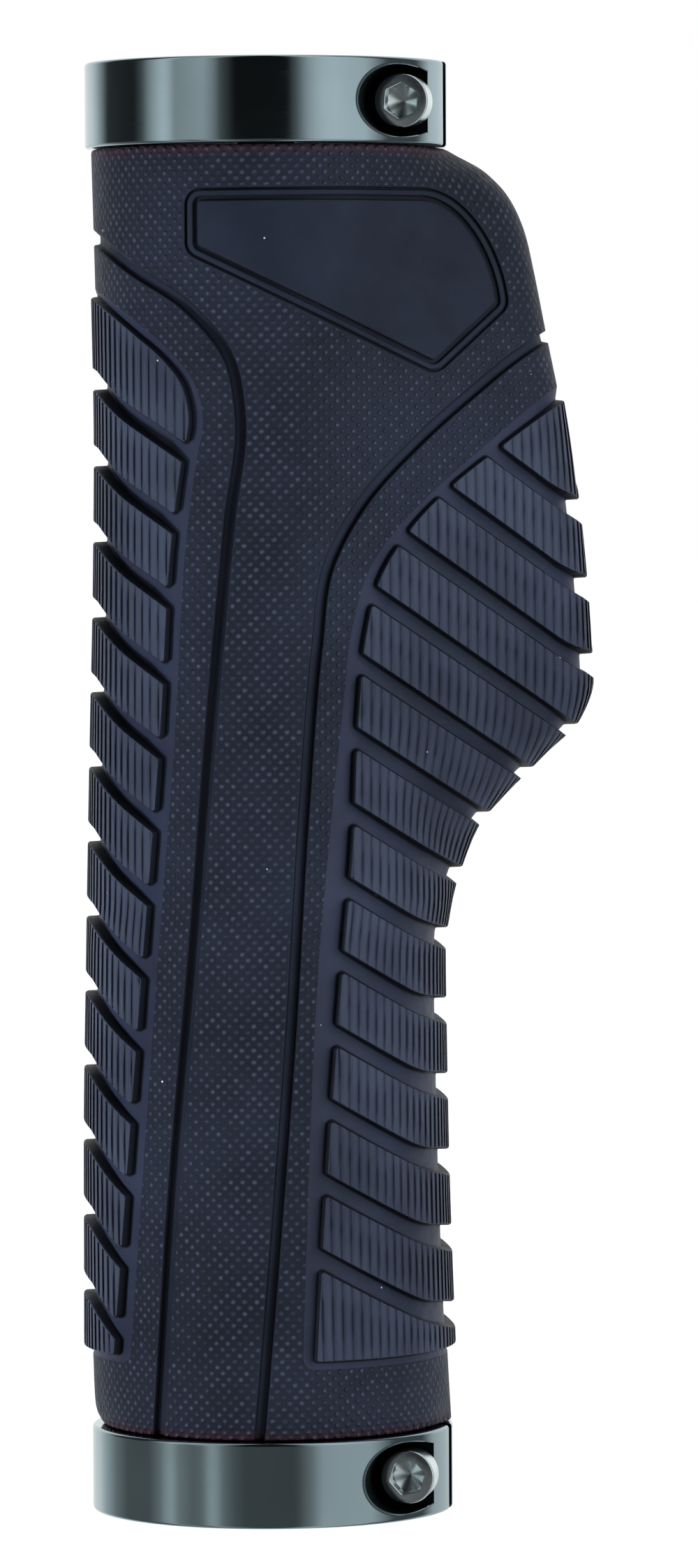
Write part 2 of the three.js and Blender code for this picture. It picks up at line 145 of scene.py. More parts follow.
# Long grooves on both sides of the middle band, and the framed pad near the top
LEFT_GROOVE = [
    (-FAR_X, 127), (-17, 115.7), (-12.2, 111.6), (-6.9, 107.9), (-3.4, 103.5), (-2.4, 98.5), (-3.4, 89),
    (-5, 72.4), (-6.7, 51.7), (-8.6, 30.8), (-10.4, 4),
]
RIGHT_GROOVE = [
    (FAR_X, 110.5), (27, 106.4), (22.6, 103.8), (18.3, 100.4), (13.2, 95.9), (8.2, 90.4), (5.3, 84.9),
    (4.3, 78), (3.1, 64), (1.8, 43.8), (0.4, 26), (-1.5, 4),
]
PAD_TOP_LEFT = (-7.1, 118.3)
PAD_TOP_RIGHT = (13.9, 118.4)
PAD_RIGHT = (21.5, 108)
PAD_FOOT = (15, 102)
PAD_LEFT = (-7.1, 112.8)
PAD_ROUND = [(18.2, 118.3), (21.3, 112.2)]

# Fine lines along the ribs' tops, cut into every third of their vertices, and the moulded dots
STRIATION_PITCH = 0.95
STRIATION_DEPTH = 0.17
STRIATION_STEPS = 3
STRIATION_STEP = STRIATION_PITCH / STRIATION_STEPS
LINE_END_SHARE = 0.8
DOT_PITCH = 1.06
DOT_HEIGHT = 0.13

# Mesh fineness: steps of the dense lines, then distance and turn between vertices
DENSE = 0.08
PATH_STEP = 0.05
BORE_STEPS = 48
EDGE_SPACING = 0.55
RIB_SPACING = 0.5
SKIN_SPACING = 1.3
PAD_SPACING = 0.9
SIDE_TURN, STRIP_TURN, PAD_TURN = (math.radians(degrees) for degrees in (20, 24, 15))

# Across the edges, by distance from the nominal line: height above the floor at a rib's foot, drop at
# the floor's edge, level and drop in a long groove, and drop beyond the half width of a pad groove
RIB_EDGE_RADIUS = 0.18
RIB_FOOT = ((0.04, 0.09), (0.08, 0.02), (0.2, 0.0))
FLOOR_EDGE = ((-0.1, 0.0), (0.0, 0.02), (0.1, 0.06), (0.22, 0.09))
FLOOR_CORNER_RADIUS = 1.1
GROOVE_SIDE = (
    (0.7, "skin", 0.0), (0.6, "skin", 0.0), (0.52, "skin", 0.03), (0.48, "skin", 0.12),
    (0.42, "groove", -0.1), (0.34, "groove", -0.01),
)
PAD_GROOVES = ((0.0, 0.12), (-0.8, 0.22))  # centre and half width
PAD_GROOVE_SIDE = ((0.18, 0.0), (0.08, 0.0), (0.01, 0.05), (-0.04, 0.35))
PAD_CORNER_RADII = (1.35, 3.0, 1.5, 1.5, 1.35)

# Face tags, in the order of the sleeve's materials. The fourth, a darker rubber on walls, feet and groove
# sides, is painted shade; the fifth, a lighter and bluer rubber on the floor round the ribs, is painted
# sheen.
DOTTED, RIBBED, SMOOTH, CREVICE_SHADE, FLOOR = range(5)


# Curves in the front view


def hermite(start, end, start_slope, end_slope, t):
    """Cubic from start to end for t from 0 to 1, with given slopes."""
    u = 1 - t
    return (
        start * (1 + 2 * t) * u * u + start_slope * t * u * u
        + end * (3 - 2 * t) * t * t - end_slope * t * t * u
    )


def smooth_line(points):
    """Smooth value through (position, value) points that never swings past them."""
    at, value = np.array(points, float).T
    secant = np.diff(value) / np.diff(at)
    before, after = secant[:-1], secant[1:]
    same_way = before * after > 0
    total = np.where(same_way, before + after, 1)
    inner = np.where(same_way, 2 * before * after / total, 0)
    slope = np.concatenate([secant[:1], inner, secant[-1:]])

    def line(position):
        i = np.clip(np.searchsorted(at, position) - 1, 0, len(at) - 2)
        span = at[i + 1] - at[i]
        t = (position - at[i]) / span
        return hermite(value[i], value[i + 1], slope[i] * span, slope[i + 1] * span, t)

    return line


def spline(points):
    """Dense smooth line through points that lie at uneven distances."""
    p = np.array(points, float)
    step = np.diff(run_length(p))[:, None]
    speed = np.diff(p, axis=0) / step
    wide = (p[2:] - p[:-2]) / (step[:-1] + step[1:])
    tangent = np.concatenate([speed[:1], speed[:-1] + speed[1:] - wide, speed[-1:]])
    pieces = []
    for i in range(len(p) - 1):
        count = max(int(step[i, 0] / DENSE), 2)
        t = np.linspace(0, 1, count, endpoint=i == len(p) - 2)[:, None]
        pieces.append(hermite(p[i], p[i + 1], tangent[i] * step[i], tangent[i + 1] * step[i], t))
    return np.concatenate(pieces)


def straight(a, b):
    """Dense straight line."""
    count = max(int(math.dist(a, b) / DENSE), 2)
    return np.linspace(a, b, count)


def bezier(a, b, c, d, count=24):
    t = np.linspace(0, 1, count)[:, None]
    u = 1 - t
    return (
        np.array(a) * u ** 3 + 3 * np.array(b) * u * u * t + 3 * np.array(c) * u * t * t
        + np.array(d) * t ** 3
    )


def run_length(line):
    """Distance along a line at each of its points."""
    return np.concatenate([[0], np.cumsum(np.linalg.norm(np.diff(line, axis=0), axis=1))])


def sampled(line, run, at):
    """Points of a line with given run lengths, at other run lengths."""
    return np.stack([np.interp(at, run, line[:, k]) for k in (0, 1)], axis=-1)


def turning(along):
    """Angle turned so far by directions along a line."""
    angle = np.unwrap(np.arctan2(along[:, 0], along[:, 1]))
    return np.concatenate([[0], np.cumsum(np.abs(np.diff(angle)))])


def cut_line(line, start, end):
    """The part of a dense line between two run lengths."""
    run = run_length(line)
    inside = line[(run > start + 1e-6) & (run < end - 1e-6)]
    return np.vstack([sampled(line, run, start), inside, sampled(line, run, end)])


def joint(a, b):
    """Directions into and out of the joint of two dense lines, and the angle between them."""
    into, out = a[-1] - a[-3], b[2] - b[0]
    into, out = into / np.linalg.norm(into), out / np.linalg.norm(out)
    return into, out, math.acos(max(-1.0, min(1.0, into @ out)))


def join_rounded(pieces, radii, closed=False):
    """Joins dense lines end to end and rounds each joint by its radius."""
    count = len(pieces)
    joints = range(count) if closed else range(count - 1)
    trim = [[0.0, 0.0] for _ in pieces]
    for i in joints:
        a, b = pieces[i], pieces[(i + 1) % count]
        back = radii[i] * math.tan(joint(a, b)[2] / 2)
        back = min(back, 0.48 * run_length(a)[-1], 0.48 * run_length(b)[-1])
        trim[i][1] = trim[(i + 1) % count][0] = back
    cut = [cut_line(p, t[0], run_length(p)[-1] - t[1]) for p, t in zip(pieces, trim)]
    line = []
    for i, piece in enumerate(cut):
        line.append(piece)
        if i in joints:
            after = cut[(i + 1) % count]
            start, end = piece[-1], after[0]
            into, out, turn = joint(piece, after)
            radius = np.linalg.norm(end - start) / 2 / max(math.sin(turn / 2), 1e-6)
            handle = 4 / 3 * math.tan(turn / 4) * radius
            line.append(bezier(start, start + into * handle, end - out * handle, end)[1:-1])
    return np.vstack(line)


class Path:
    """A dense line with a position and a normal at each run length."""

    def __init__(self, line, outward, closed=False):
        if closed:
            line = np.vstack([line, line[:1]])
        run = run_length(line)
        self.line = sampled(line, run, np.linspace(0, run[-1], int(run[-1] / PATH_STEP)))
        self.run = run_length(self.line)
        self.length = self.run[-1]
        ahead = np.roll(self.line, -1, axis=0)
        behind = np.roll(self.line, 1, axis=0)
        first, last = (-2, 1) if closed else (0, -1)
        behind[0], ahead[-1] = self.line[first], self.line[last]
        along = ahead - behind
        along /= np.linalg.norm(along, axis=1)[:, None]
        self.normal = np.stack([along[:, 1], -along[:, 0]], axis=1) * outward

    def normal_at(self, t):
        normal = sampled(self.normal, self.run, t)
        return normal / np.linalg.norm(normal, axis=1)[:, None]

    def at(self, t, distance):
        return (sampled(self.line, self.run, t) + self.normal_at(t) * distance).T


# The sleeve's section: a round body and a smaller round wing tip in one taut line

left_outline = smooth_line(LEFT_OUTLINE)
right_outline = smooth_line(RIGHT_OUTLINE)


def edge_inset(z):
    """How far the rounded end edges lie inside the outline."""
    to_end = np.minimum(z - SLEEVE_BOTTOM, SLEEVE_TOP - z)
    short = np.clip(SLEEVE_EDGE_RADIUS - to_end, 0, SLEEVE_EDGE_RADIUS)
    return SLEEVE_EDGE_RADIUS - np.sqrt(SLEEVE_EDGE_RADIUS ** 2 - short ** 2)


def section(z, rise):
    """Both circles' x and radius, the taut line's tilt, and the x where the line starts and ends."""
    left, right = left_outline(z), right_outline(z)
    body_x = np.minimum((right - left) / 2, 0)
    body = left + body_x
    tip = np.minimum(WING_TIP_RADIUS, body)
    tip_x = right - tip
    reach = np.maximum(tip_x - body_x, 1e-6)
    turn = np.arccos(np.clip((body - tip) / reach, -1, 1))
    grow = rise - edge_inset(z)
    body, tip = body + grow, tip + grow
    return body_x, body, tip_x, tip, turn, body_x + body * np.cos(turn), tip_x + tip * np.cos(turn)


def by_part(at, start, end, on_body, on_line, on_tip):
    return np.where(at <= start, on_body, np.where(at >= end, on_tip, on_line))


def line_share(at, start, end):
    return np.clip((at - start) / np.maximum(end - start, 1e-9), 0, 1)


def front_y(x, z, rise):
    """Distance of the surface from the XZ plane, 0 outside the outline."""
    body_x, body, tip_x, tip, turn, start, end = section(z, rise)
    on_body = np.sqrt(np.maximum(body ** 2 - (x - body_x) ** 2, 0))
    on_tip = np.sqrt(np.maximum(tip ** 2 - (x - tip_x) ** 2, 0))
    on_line = np.sin(turn) * (body + (tip - body) * line_share(x, start, end))
    return by_part(x, start, end, on_body, on_line, on_tip)


def arc_of(x, z, rise):
    """Signed distance along the section from its crown."""
    body_x, body, tip_x, tip, turn, start, end = section(z, rise)
    at_line = body * (math.pi / 2 - turn)
    at_tip = at_line + np.maximum(tip_x - body_x, 0) * np.sin(turn)
    on_body = body * np.arcsin(np.clip((x - body_x) / body, -1, 1))
    on_line = at_line + (at_tip - at_line) * line_share(x, start, end)
    on_tip = at_tip + tip * (turn - np.arccos(np.clip((x - tip_x) / tip, -1, 1)))
    return by_part(x, start, end, on_body, on_line, on_tip)


def x_of(arc, z, rise):
    """Front view x of the place at a distance along the section."""
    body_x, body, tip_x, tip, turn, start, end = section(z, rise)
    at_line = body * (math.pi / 2 - turn)
    at_tip = at_line + np.maximum(tip_x - body_x, 0) * np.sin(turn)
    on_body = body_x + body * np.sin(np.maximum(arc / body, -math.pi / 2))
    on_line = start + (end - start) * line_share(arc, at_line, at_tip)
    on_tip = tip_x + tip * np.cos(np.maximum(turn - (arc - at_tip) / tip, 0))
    return by_part(arc, at_line, at_tip, on_body, on_line, on_tip)


def side_x(z, rise, side):
    """The outline's x on one side."""
    body_x, body, tip_x, tip = section(z, rise)[:4]
    return tip_x + tip if side > 0 else body_x - body


def climb(z):
    """Height measured along the rounded end edges."""
    low = np.clip(SLEEVE_BOTTOM + SLEEVE_EDGE_RADIUS - z, 0, SLEEVE_EDGE_RADIUS)
    high = np.clip(z - SLEEVE_TOP + SLEEVE_EDGE_RADIUS, 0, SLEEVE_EDGE_RADIUS)
    radius = SLEEVE_EDGE_RADIUS
    return z + low - radius * np.arcsin(low / radius) - high + radius * np.arcsin(high / radius)


def by_height(z, low, high):
    """Value that goes from low to high with height."""
    t = np.clip((z - RELIEF_LOW_Z) / (RELIEF_HIGH_Z - RELIEF_LOW_Z), 0, 1)
    return low + (high - low) * t


def rib_rise(z):
    return by_height(z, RIB_RISE_LOW, RIB_RISE_HIGH)


def floor_rise(z):
    return -by_height(z, FLOOR_SINK_LOW, FLOOR_SINK_HIGH)


def level(kind, drop=0.0):
    """Rise above the dotted surface at a height, lowered by drop: 'rib', 'skin', 'floor' or 'groove'."""
    base = {
        "rib": rib_rise,
        "skin": lambda z: 0 * z,
        "floor": floor_rise,
        "groove": lambda z: 0 * z - GROOVE_DEPTH,
    }
    return lambda z: base[kind](z) - drop


def moved_x(x, z, rise, new_rise):
    """Front view x of a surface point that moves along the surface's normal to another level."""
    body_x, body, tip_x, tip, turn, start, end = section(z, rise)
    step = new_rise - rise
    on_body = body_x + (x - body_x) * (body + step) / body
    on_tip = tip_x + (x - tip_x) * (tip + step) / tip
    return by_part(x, start, end, on_body, x + step * np.cos(turn), on_tip)


def sunk_x(x, z, rise, new_rise):
    """Like moved_x for the foot of a wall: the wall leans back, but not at the outline."""
    radial = moved_x(x, z, rise, new_rise)
    body_x, body, tip_x, tip = section(z, rise)[:4]
    sideways = np.where(x < body_x, (body_x - x) / body, np.clip((x - tip_x) / tip, 0, 1))
    lean = WALL_LEAN * (1 - np.clip(sideways, 0, 1) ** 8)
    return radial + (x - radial) * lean


# Half mesh: vertices with y from 0 outward, and faces with a tag for their material


class Half:
    """Grows the half mesh. arcs are along the section at the skin, own_arcs at the vertices' own level."""

    def __init__(self):
        self.points = []
        self.arcs = []
        self.own_arcs = []
        self.faces = []
        self.tags = []
        self.count = 0

    def add(self, x, z, rise, y=None, extra=0.0):
        """Vertices on the surface at a rise; extra moves them in or out without moving their arcs."""
        x, z = np.atleast_1d(x).astype(float), np.atleast_1d(z).astype(float)
        rise = np.broadcast_to(rise, z.shape)
        y = front_y(x, z, rise + extra) if y is None else np.broadcast_to(y, z.shape)
        self.points.append(np.stack([x, y, z], axis=1))
        at_skin = moved_x(x, z, rise, 0 * z)
        self.arcs.append(arc_of(at_skin, z, 0 * z))
        self.own_arcs.append(arc_of(x, z, rise))
        index = np.arange(self.count, self.count + len(x))
        self.count += len(x)
        return index

    def all_points(self):
        points = np.vstack(self.points)
        self.points = [points]
        return points

    def all_arcs(self):
        arcs = np.concatenate(self.arcs)
        self.arcs = [arcs]
        return arcs

    def strip(self, rows, tags):
        """Quads between rows of vertex numbers of equal length, with a tag for each gap."""
        for tag, a, b in zip(tags, rows[:-1], rows[1:]):
            self.faces += [(a[i], a[i + 1], b[i + 1], b[i]) for i in range(len(a) - 1)]
            self.tags += [tag] * (len(a) - 1)

    def fill(self, loop, inner, chains, tag, holes=()):
        """Triangles inside a loop of vertex numbers, through inner points and along chains."""
        points = self.all_points()
        loops = [list(line) for line in (loop, *holes)]
        numbers = [n for line in loops for n in line] + list(inner) + [n for c in chains for n in c[1:-1]]
        place = {n: i for i, n in enumerate(numbers)}
        flat = np.stack([self.all_arcs()[numbers], climb(points[numbers, 2])], axis=1)
        edges = [(place[a], place[b]) for line in loops for a, b in zip(line, line[1:] + line[:1])]
        edges += [(place[a], place[b]) for c in chains for a, b in zip(c[:-1], c[1:])]
        made = delaunay_2d_cdt([Vector(p) for p in flat], edges, [], 0, 1e-7)
        origin = [o[0] if o else None for o in made[3]]
        if None in origin:
            raise RuntimeError(f"the outline crosses itself near {made[0][origin.index(None)]}")
        triangles = np.array([[origin[v] for v in f] for f in made[2]])
        centre = flat[triangles].mean(axis=1)
        inside = inside_loops(centre, [flat[[place[n] for n in line]] for line in loops])
        chosen = np.array(numbers)[triangles[inside]]
        self.faces += [tuple(f) for f in chosen]
        self.tags += [tag] * len(chosen)


def inside_loops(points, loops):
    """Whether each point is inside an odd number of the loops."""
    inside = np.zeros(len(points), bool)
    for loop in loops:
        x1, y1 = loop[:, 0], loop[:, 1]
        x2, y2 = np.roll(x1, -1), np.roll(y1, -1)
        for start in range(0, len(points), 2000):
            px, py = points[start:start + 2000, 0][:, None], points[start:start + 2000, 1][:, None]
            crosses = (y1 > py) != (y2 > py)
            with np.errstate(divide="ignore", invalid="ignore"):
                at = x1 + (py - y1) / (y2 - y1) * (x2 - x1)
            hits = (crosses & (px < at)).sum(axis=1)
            inside[start:start + 2000] ^= hits % 2 == 1
    return inside


class Strip:
    """Rows of vertices beside a path that starts outside the sleeve's outline and ends there or below it.

    Each row is laid out at the first row's level, up to the outline at that level, and then moves in
    to its own level.
    """

    def __init__(self, half, path, profile, spacing, side, crossings=None, lift=None):
        """profile: rows of (distance, level, on_floor). side: which outline the path starts and ends at.

        crossings: step along the section at which the row gets numbered vertices.
        lift: how much higher than their level the rows on the floor are at a place.
        """
        self.path = path
        self.profile = profile
        self.side = side
        self.lift = lift
        self.top = profile[0][1]
        self.ends = [self.limits(distance) for distance, _, _ in profile]
        start, end = self.ends[0]
        dense = start + (end - start) * (1 - np.cos(np.linspace(0, math.pi, 3000))) / 2
        marks = [(start, None), (end, None)]
        if crossings is not None:
            x, z = self.place(0, dense)
            arc = arc_of(x, z, self.top(z)) / crossings
            for i in np.nonzero(np.floor(arc[:-1]) != np.floor(arc[1:]))[0]:
                low, high = sorted((arc[i], arc[i + 1]))
                for k in range(math.ceil(low), math.floor(high) + 1):
                    share = (k - arc[i]) / (arc[i + 1] - arc[i])
                    marks.append((dense[i] + share * (dense[i + 1] - dense[i]), k))
        marks.sort(key=lambda mark: mark[0])
        clean = [marks[0]]
        for t, k in marks[1:]:
            if t - clean[-1][0] > 1e-4:
                clean.append((t, k))
            elif k is not None and clean[-1][0] > start:
                clean[-1] = (t, k)
        self.t = self.filled(np.array([t for t, _ in clean]), dense, spacing)
        by_t = {t: k for t, k in clean if k is not None}
        self.columns = [by_t.get(t) for t in self.t]
        self.rows = [self.make_row(half, row) for row in range(len(profile))]

    def gap(self, distance, t):
        """Distance inside the outline, negative outside."""
        x, z = self.path.at(t, distance)
        inside = (side_x(z, self.top(z), self.side) - x) * self.side
        return np.minimum(inside, z - SLEEVE_BOTTOM)

    def limits(self, distance):
        """First and last run length of a row inside the outline."""
        t = np.linspace(0, self.path.length, 4000)
        inside = np.nonzero(self.gap(distance, t) > 0)[0]
        start, end = 0.0, self.path.length
        if inside[0] > 0:
            start = self.root(distance, t[inside[0] - 1], t[inside[0]])
        if inside[-1] < len(t) - 1:
            end = self.root(distance, t[inside[-1] + 1], t[inside[-1]])
        return start, end

    def root(self, distance, t_out, t_in):
        """Run length where a row crosses the outline, between one outside and one inside."""
        for _ in range(50):
            middle = (t_out + t_in) / 2
            if self.gap(distance, np.array([middle]))[0] > 0:
                t_in = middle
            else:
                t_out = middle
        return t_in

    def place(self, row, t):
        """Point of a row at a run length of the first row; the ends slide to the row's own ends."""
        start, end = self.ends[0]
        own_start, own_end = self.ends[row]
        middle, reach = (start + end) / 2, (end - start) / 2
        before = np.clip((middle - t) / reach, 0, 1) ** 6
        after = np.clip((t - middle) / reach, 0, 1) ** 6
        return self.path.at(t + (own_start - start) * before + (own_end - end) * after, self.profile[row][0])

    def filled(self, marks, dense, spacing):
        """Adds marks where the row between two of them is longer than spacing or turns."""
        x, z = self.place(0, dense)
        y = front_y(x, z, self.top(z))
        run = run_length(np.stack([x, y, z], axis=1))
        cost = run / spacing + turning(self.path.normal_at(dense)) / STRIP_TURN
        result = [marks[0]]
        for a, b in zip(marks[:-1], marks[1:]):
            low, high = np.interp([a, b], dense, cost)
            parts = max(math.ceil(high - low - 0.35), 1)
            result += list(np.interp(np.linspace(low, high, parts + 1)[1:-1], cost, dense)) + [b]
        return np.array(result)

    def make_row(self, half, row):
        x, z = self.place(row, self.t)
        at_bottom = z[-1] < SLEEVE_BOTTOM + 0.3
        if at_bottom:
            z[-1] = SLEEVE_BOTTOM
        _, height, on_floor = self.profile[row]
        top, rise = self.top(z), height(z)
        if on_floor and self.lift:
            rise = rise + self.lift(x, z)
        x = sunk_x(x, z, top, rise)
        y = front_y(x, z, rise)
        x[0], y[0] = side_x(z[0], rise[0], self.side), 0
        if not at_bottom:
            x[-1], y[-1] = side_x(z[-1], rise[-1], self.side), 0
        return half.add(x, z, rise, y=y)


def side_points(half, start, end, rise, side, spacing=0.7):
    """Vertices on the outline between two vertices on it, without them."""
    points = half.all_points()
    dense = np.linspace(points[start][2], points[end][2], 400)
    line = np.stack([side_x(dense, rise(dense), side), dense], axis=1)
    turned_so_far = np.concatenate([[0], turning(np.diff(line, axis=0))])
    cost = run_length(line) / spacing + turned_so_far / SIDE_TURN
    count = max(int(round(cost[-1])), 1)
    z = np.interp(np.linspace(0, cost[-1], count + 1)[1:-1], cost, dense)
    return list(half.add(side_x(z, rise(z), side), z, rise(z), y=0.0)) if len(z) else []


# Profiles across each kind of edge: distance from the nominal line, level, whether it is on the floor


def rib_profile():
    """Over the rounded edge of a rib's top, then down its wall to the foot and out on the floor."""
    rows = []
    for degrees in (0, 35, 90):
        a = math.radians(degrees)
        drop = RIB_EDGE_RADIUS * (1 - math.cos(a))
        rows.append((RIB_EDGE_RADIUS * (math.sin(a) - 1), level("rib", drop), False))
    return rows + [(away, level("floor", -up), True) for away, up in RIB_FOOT]


def floor_edge_profile():
    """From the dotted surface down to the smooth ramp beside the ribs."""
    return [(away, level("skin", drop), False) for away, drop in FLOOR_EDGE]


def floor_lift(edge):
    """The floor ramps down from the dotted surface, along the line between both."""
    def lift(x, z):
        away = np.sqrt([np.min(np.sum((edge - p) ** 2, axis=1)) for p in np.stack([x, z], axis=1)])
        return -floor_rise(z) * (1 - np.clip(away / FLOOR_RAMP, 0, 1))
    return lift


def groove_profile():
    """Down one rounded side, over the bottom and up the other side."""
    side = [(away, level(kind, drop), False) for away, kind, drop in GROOVE_SIDE]
    other_side = [(-away, height, on_floor) for away, height, on_floor in side]
    return [*other_side, (0.0, level("groove"), False), *side[::-1]]


def pad_profile():
    """Two grooves with a ridge between them, from the outside in; the inner one is wider."""
    rows = []
    for centre, half_width in PAD_GROOVES:
        side = [(half_width + beyond, drop) for beyond, drop in PAD_GROOVE_SIDE]
        rows += [(centre + offset, level("skin", drop)) for offset, drop in side]
        rows += [(centre - offset, level("skin", drop)) for offset, drop in side[::-1]]
    return rows


# Rib outlines


def crossing(line, slope_line):
    """Run length at which a dense line first crosses z = slope_line(x)."""
    above = line[:, 1] - slope_line(line[:, 0])
    i = np.nonzero((above[:-1] > 0) != (above[1:] > 0))[0][0]
    run = run_length(line)
    return run[i] + above[i] / (above[i] - above[i + 1]) * (run[i + 1] - run[i])


def rib_line(ribs, slope, height, bend):
    """The height over x of one edge across a field; near the outline it bends up from a straight line."""
    side = math.copysign(1, ribs["at_x"])
    outline = right_outline if side > 0 else left_outline

    def line(x):
        return height + slope * (x - ribs["at_x"])

    edge_x = ribs["at_x"]
    for _ in range(40):
        edge_z = np.clip(line(edge_x), SLEEVE_BOTTOM + 1, SLEEVE_TOP - 1)
        edge_x = side * outline(edge_z)
    flare = abs(outline(edge_z + 1) - outline(edge_z - 1)) / 2
    bend = bend * np.clip(1 - flare / RIB_BEND_FLARE, 0, 1)

    def bent(x):
        inside = np.clip((edge_x - x) * side / RIB_BEND_REACH, 0, 1)
        return line(x) + bend * (1 - inside) ** 2

    return bent


def traced(line, start_x, end_x):
    """Dense points of a height over x."""
    x = np.linspace(start_x, end_x, max(int(abs(end_x - start_x) / DENSE), 2))
    return np.stack([x, line(x)], axis=1)


def rib_paths(edge_points, ribs, side):
    """Outlines of the ribs of a field, from the top down, each from the upper side end to the lower."""
    edge = spline(edge_points)
    total = run_length(edge)[-1]
    far_x = side * FAR_X
    paths = []
    for i in range(RIB_COUNT):
        slope = ribs["slope"] + ribs["step"] * i
        top = ribs["top"] - i * ribs["pitch"]
        upper = rib_line(ribs, slope, top, ribs["bend_upper"])
        lower = rib_line(ribs, slope, top - ribs["height"], ribs["bend_lower"])
        pieces, radii = [], []
        start = 0.0
        if i > 0:
            start = crossing(edge, upper)
            corner = cut_line(edge, start, start + 1)[0]
            pieces.append(traced(upper, far_x, corner[0]))
            radii.append(CORNER_RADIUS)
        if i == RIB_COUNT - 1:
            pieces += [cut_line(edge, start, total), straight(edge[-1], (far_x, FIELD_BOTTOM_Z))]
        else:
            end = crossing(edge, lower)
            corner = cut_line(edge, end, end + 1)[0]
            pieces += [cut_line(edge, start, end), traced(lower, corner[0], far_x)]
        radii.append(CORNER_RADIUS)
        paths.append(Path(join_rounded(pieces, radii), outward=side))
    return paths


def rib_top(half, strip, side):
    """The striated top of a rib inside its first row."""
    row = list(strip.rows[0])
    points = half.all_points()
    rise = level("rib")
    columns = {}
    for number, k in zip(row, strip.columns):
        if k is not None:
            columns.setdefault(k, []).append((points[number][2], number))
    sides = side_points(half, row[-1], row[0], rise, side, spacing=0.6)
    chains = []
    for k, ends in sorted(columns.items()):
        ends = sorted(ends)
        for (z1, low), (z2, high) in zip(ends[0::2], ends[1::2]):
            z = np.array([z1, z2])
            edge_arc = np.abs(arc_of(side_x(z, rise(z), side), z, rise(z)))
            if z2 - z1 < 0.5 or edge_arc.min() - abs(k * STRIATION_STEP) < 0.1:
                continue
            count = max(int(round((z2 - z1) / 1.2)), 1)
            z = np.linspace(z1, z2, count + 1)[1:-1]
            x = x_of(np.full(len(z), k * STRIATION_STEP), z, rise(z))
            cut = 0.0 if k % STRIATION_STEPS else -STRIATION_DEPTH
            middle = list(half.add(x, z, rise(z), extra=cut)) if len(z) else []
            chains.append([low, *middle, high])
    half.fill(row + sides, [], chains, RIBBED)


def lowered(half, strip):
    """Cuts the fine lines into a strip's first row, on a rib's top."""
    points = half.all_points()
    rise = level("rib")
    row = strip.rows[0]
    x, z = points[row, 0], points[row, 2]
    on_line = [k is not None and k % STRIATION_STEPS == 0 for k in strip.columns]
    y = front_y(x, z, rise(z) - np.where(on_line, LINE_END_SHARE * STRIATION_DEPTH, 0.0))
    points[row, 1] = np.where(points[row, 1] > 0, y, 0)


# The sleeve


def grid_points(half, outlines, spacing, clearance):
    """Evenly spread vertices on the dotted surface, inside an odd number of front view outlines."""
    heights = outlines[0][:, 1]
    climb_z = np.linspace(SLEEVE_BOTTOM, SLEEVE_TOP, 4000)
    climbed = climb(climb_z)
    first, last = climbed[0], climbed[-1]
    rounding = SLEEVE_EDGE_RADIUS * math.pi / 2 * np.array([1, 2, 3]) / 3
    count = int((last - first) / spacing / 0.9)
    between = np.linspace(first + rounding[-1] + 0.8, last - rounding[-1] - 0.8, count)
    levels = np.interp([*(first + rounding), *between, *(last - rounding[::-1])], climbed, climb_z)
    xs, zs = [], []
    for n, z in enumerate(levels[(levels > heights.min()) & (levels < heights.max())]):
        low, high = (arc_of(side_x(z, 0.0, side), z, 0.0) for side in (-1, 1))
        arc = np.linspace(low, high, int((high - low) / spacing) + 1)[1:-1] + (n % 2 - 0.5) * spacing * 0.4
        xs.append(x_of(arc, z, 0.0))
        zs.append(np.full(len(arc), z))
    x, z = np.concatenate(xs), np.concatenate(zs)
    flat = np.stack([arc_of(x, z, 0.0), climb(z)], axis=1)
    loops = [np.stack([arc_of(*line.T, 0.0), climb(line[:, 1])], axis=1) for line in outlines]
    inside = inside_loops(flat, loops)
    x, z, flat = x[inside], z[inside], flat[inside]
    edge = np.vstack(loops)
    nearest = np.array([np.min(np.sum((edge - p) ** 2, axis=1)) for p in flat])
    at_end = np.minimum(flat[:, 1] - first, last - flat[:, 1]) < rounding[-1] + 0.1
    far = nearest > np.where(at_end, 0.15, clearance) ** 2
    return list(half.add(x[far], z[far], 0.0))


def end_line(half, start, end, spacing=1.0):
    """Vertices along the sleeve's end face edge between two vertices on it, without them."""
    points = half.all_points()
    z = points[start][2]
    first, last = arc_of(points[[start, end], 0], z, 0.0)
    count = max(int(round(abs(last - first) / spacing)), 1)
    arc = np.linspace(first, last, count + 1)[1:-1]
    return list(half.add(x_of(arc, z, 0.0), np.full(len(arc), z), 0.0)) if len(arc) else []


def fill_region(half, loop, tag, spacing, clearance=0.5, holes=()):
    """Fills a loop on the dotted surface, through evenly spread vertices."""
    outlines = [half.all_points()[list(line)][:, [0, 2]] for line in (loop, *holes)]
    half.fill(loop, grid_points(half, outlines, spacing, clearance), [], tag, holes)


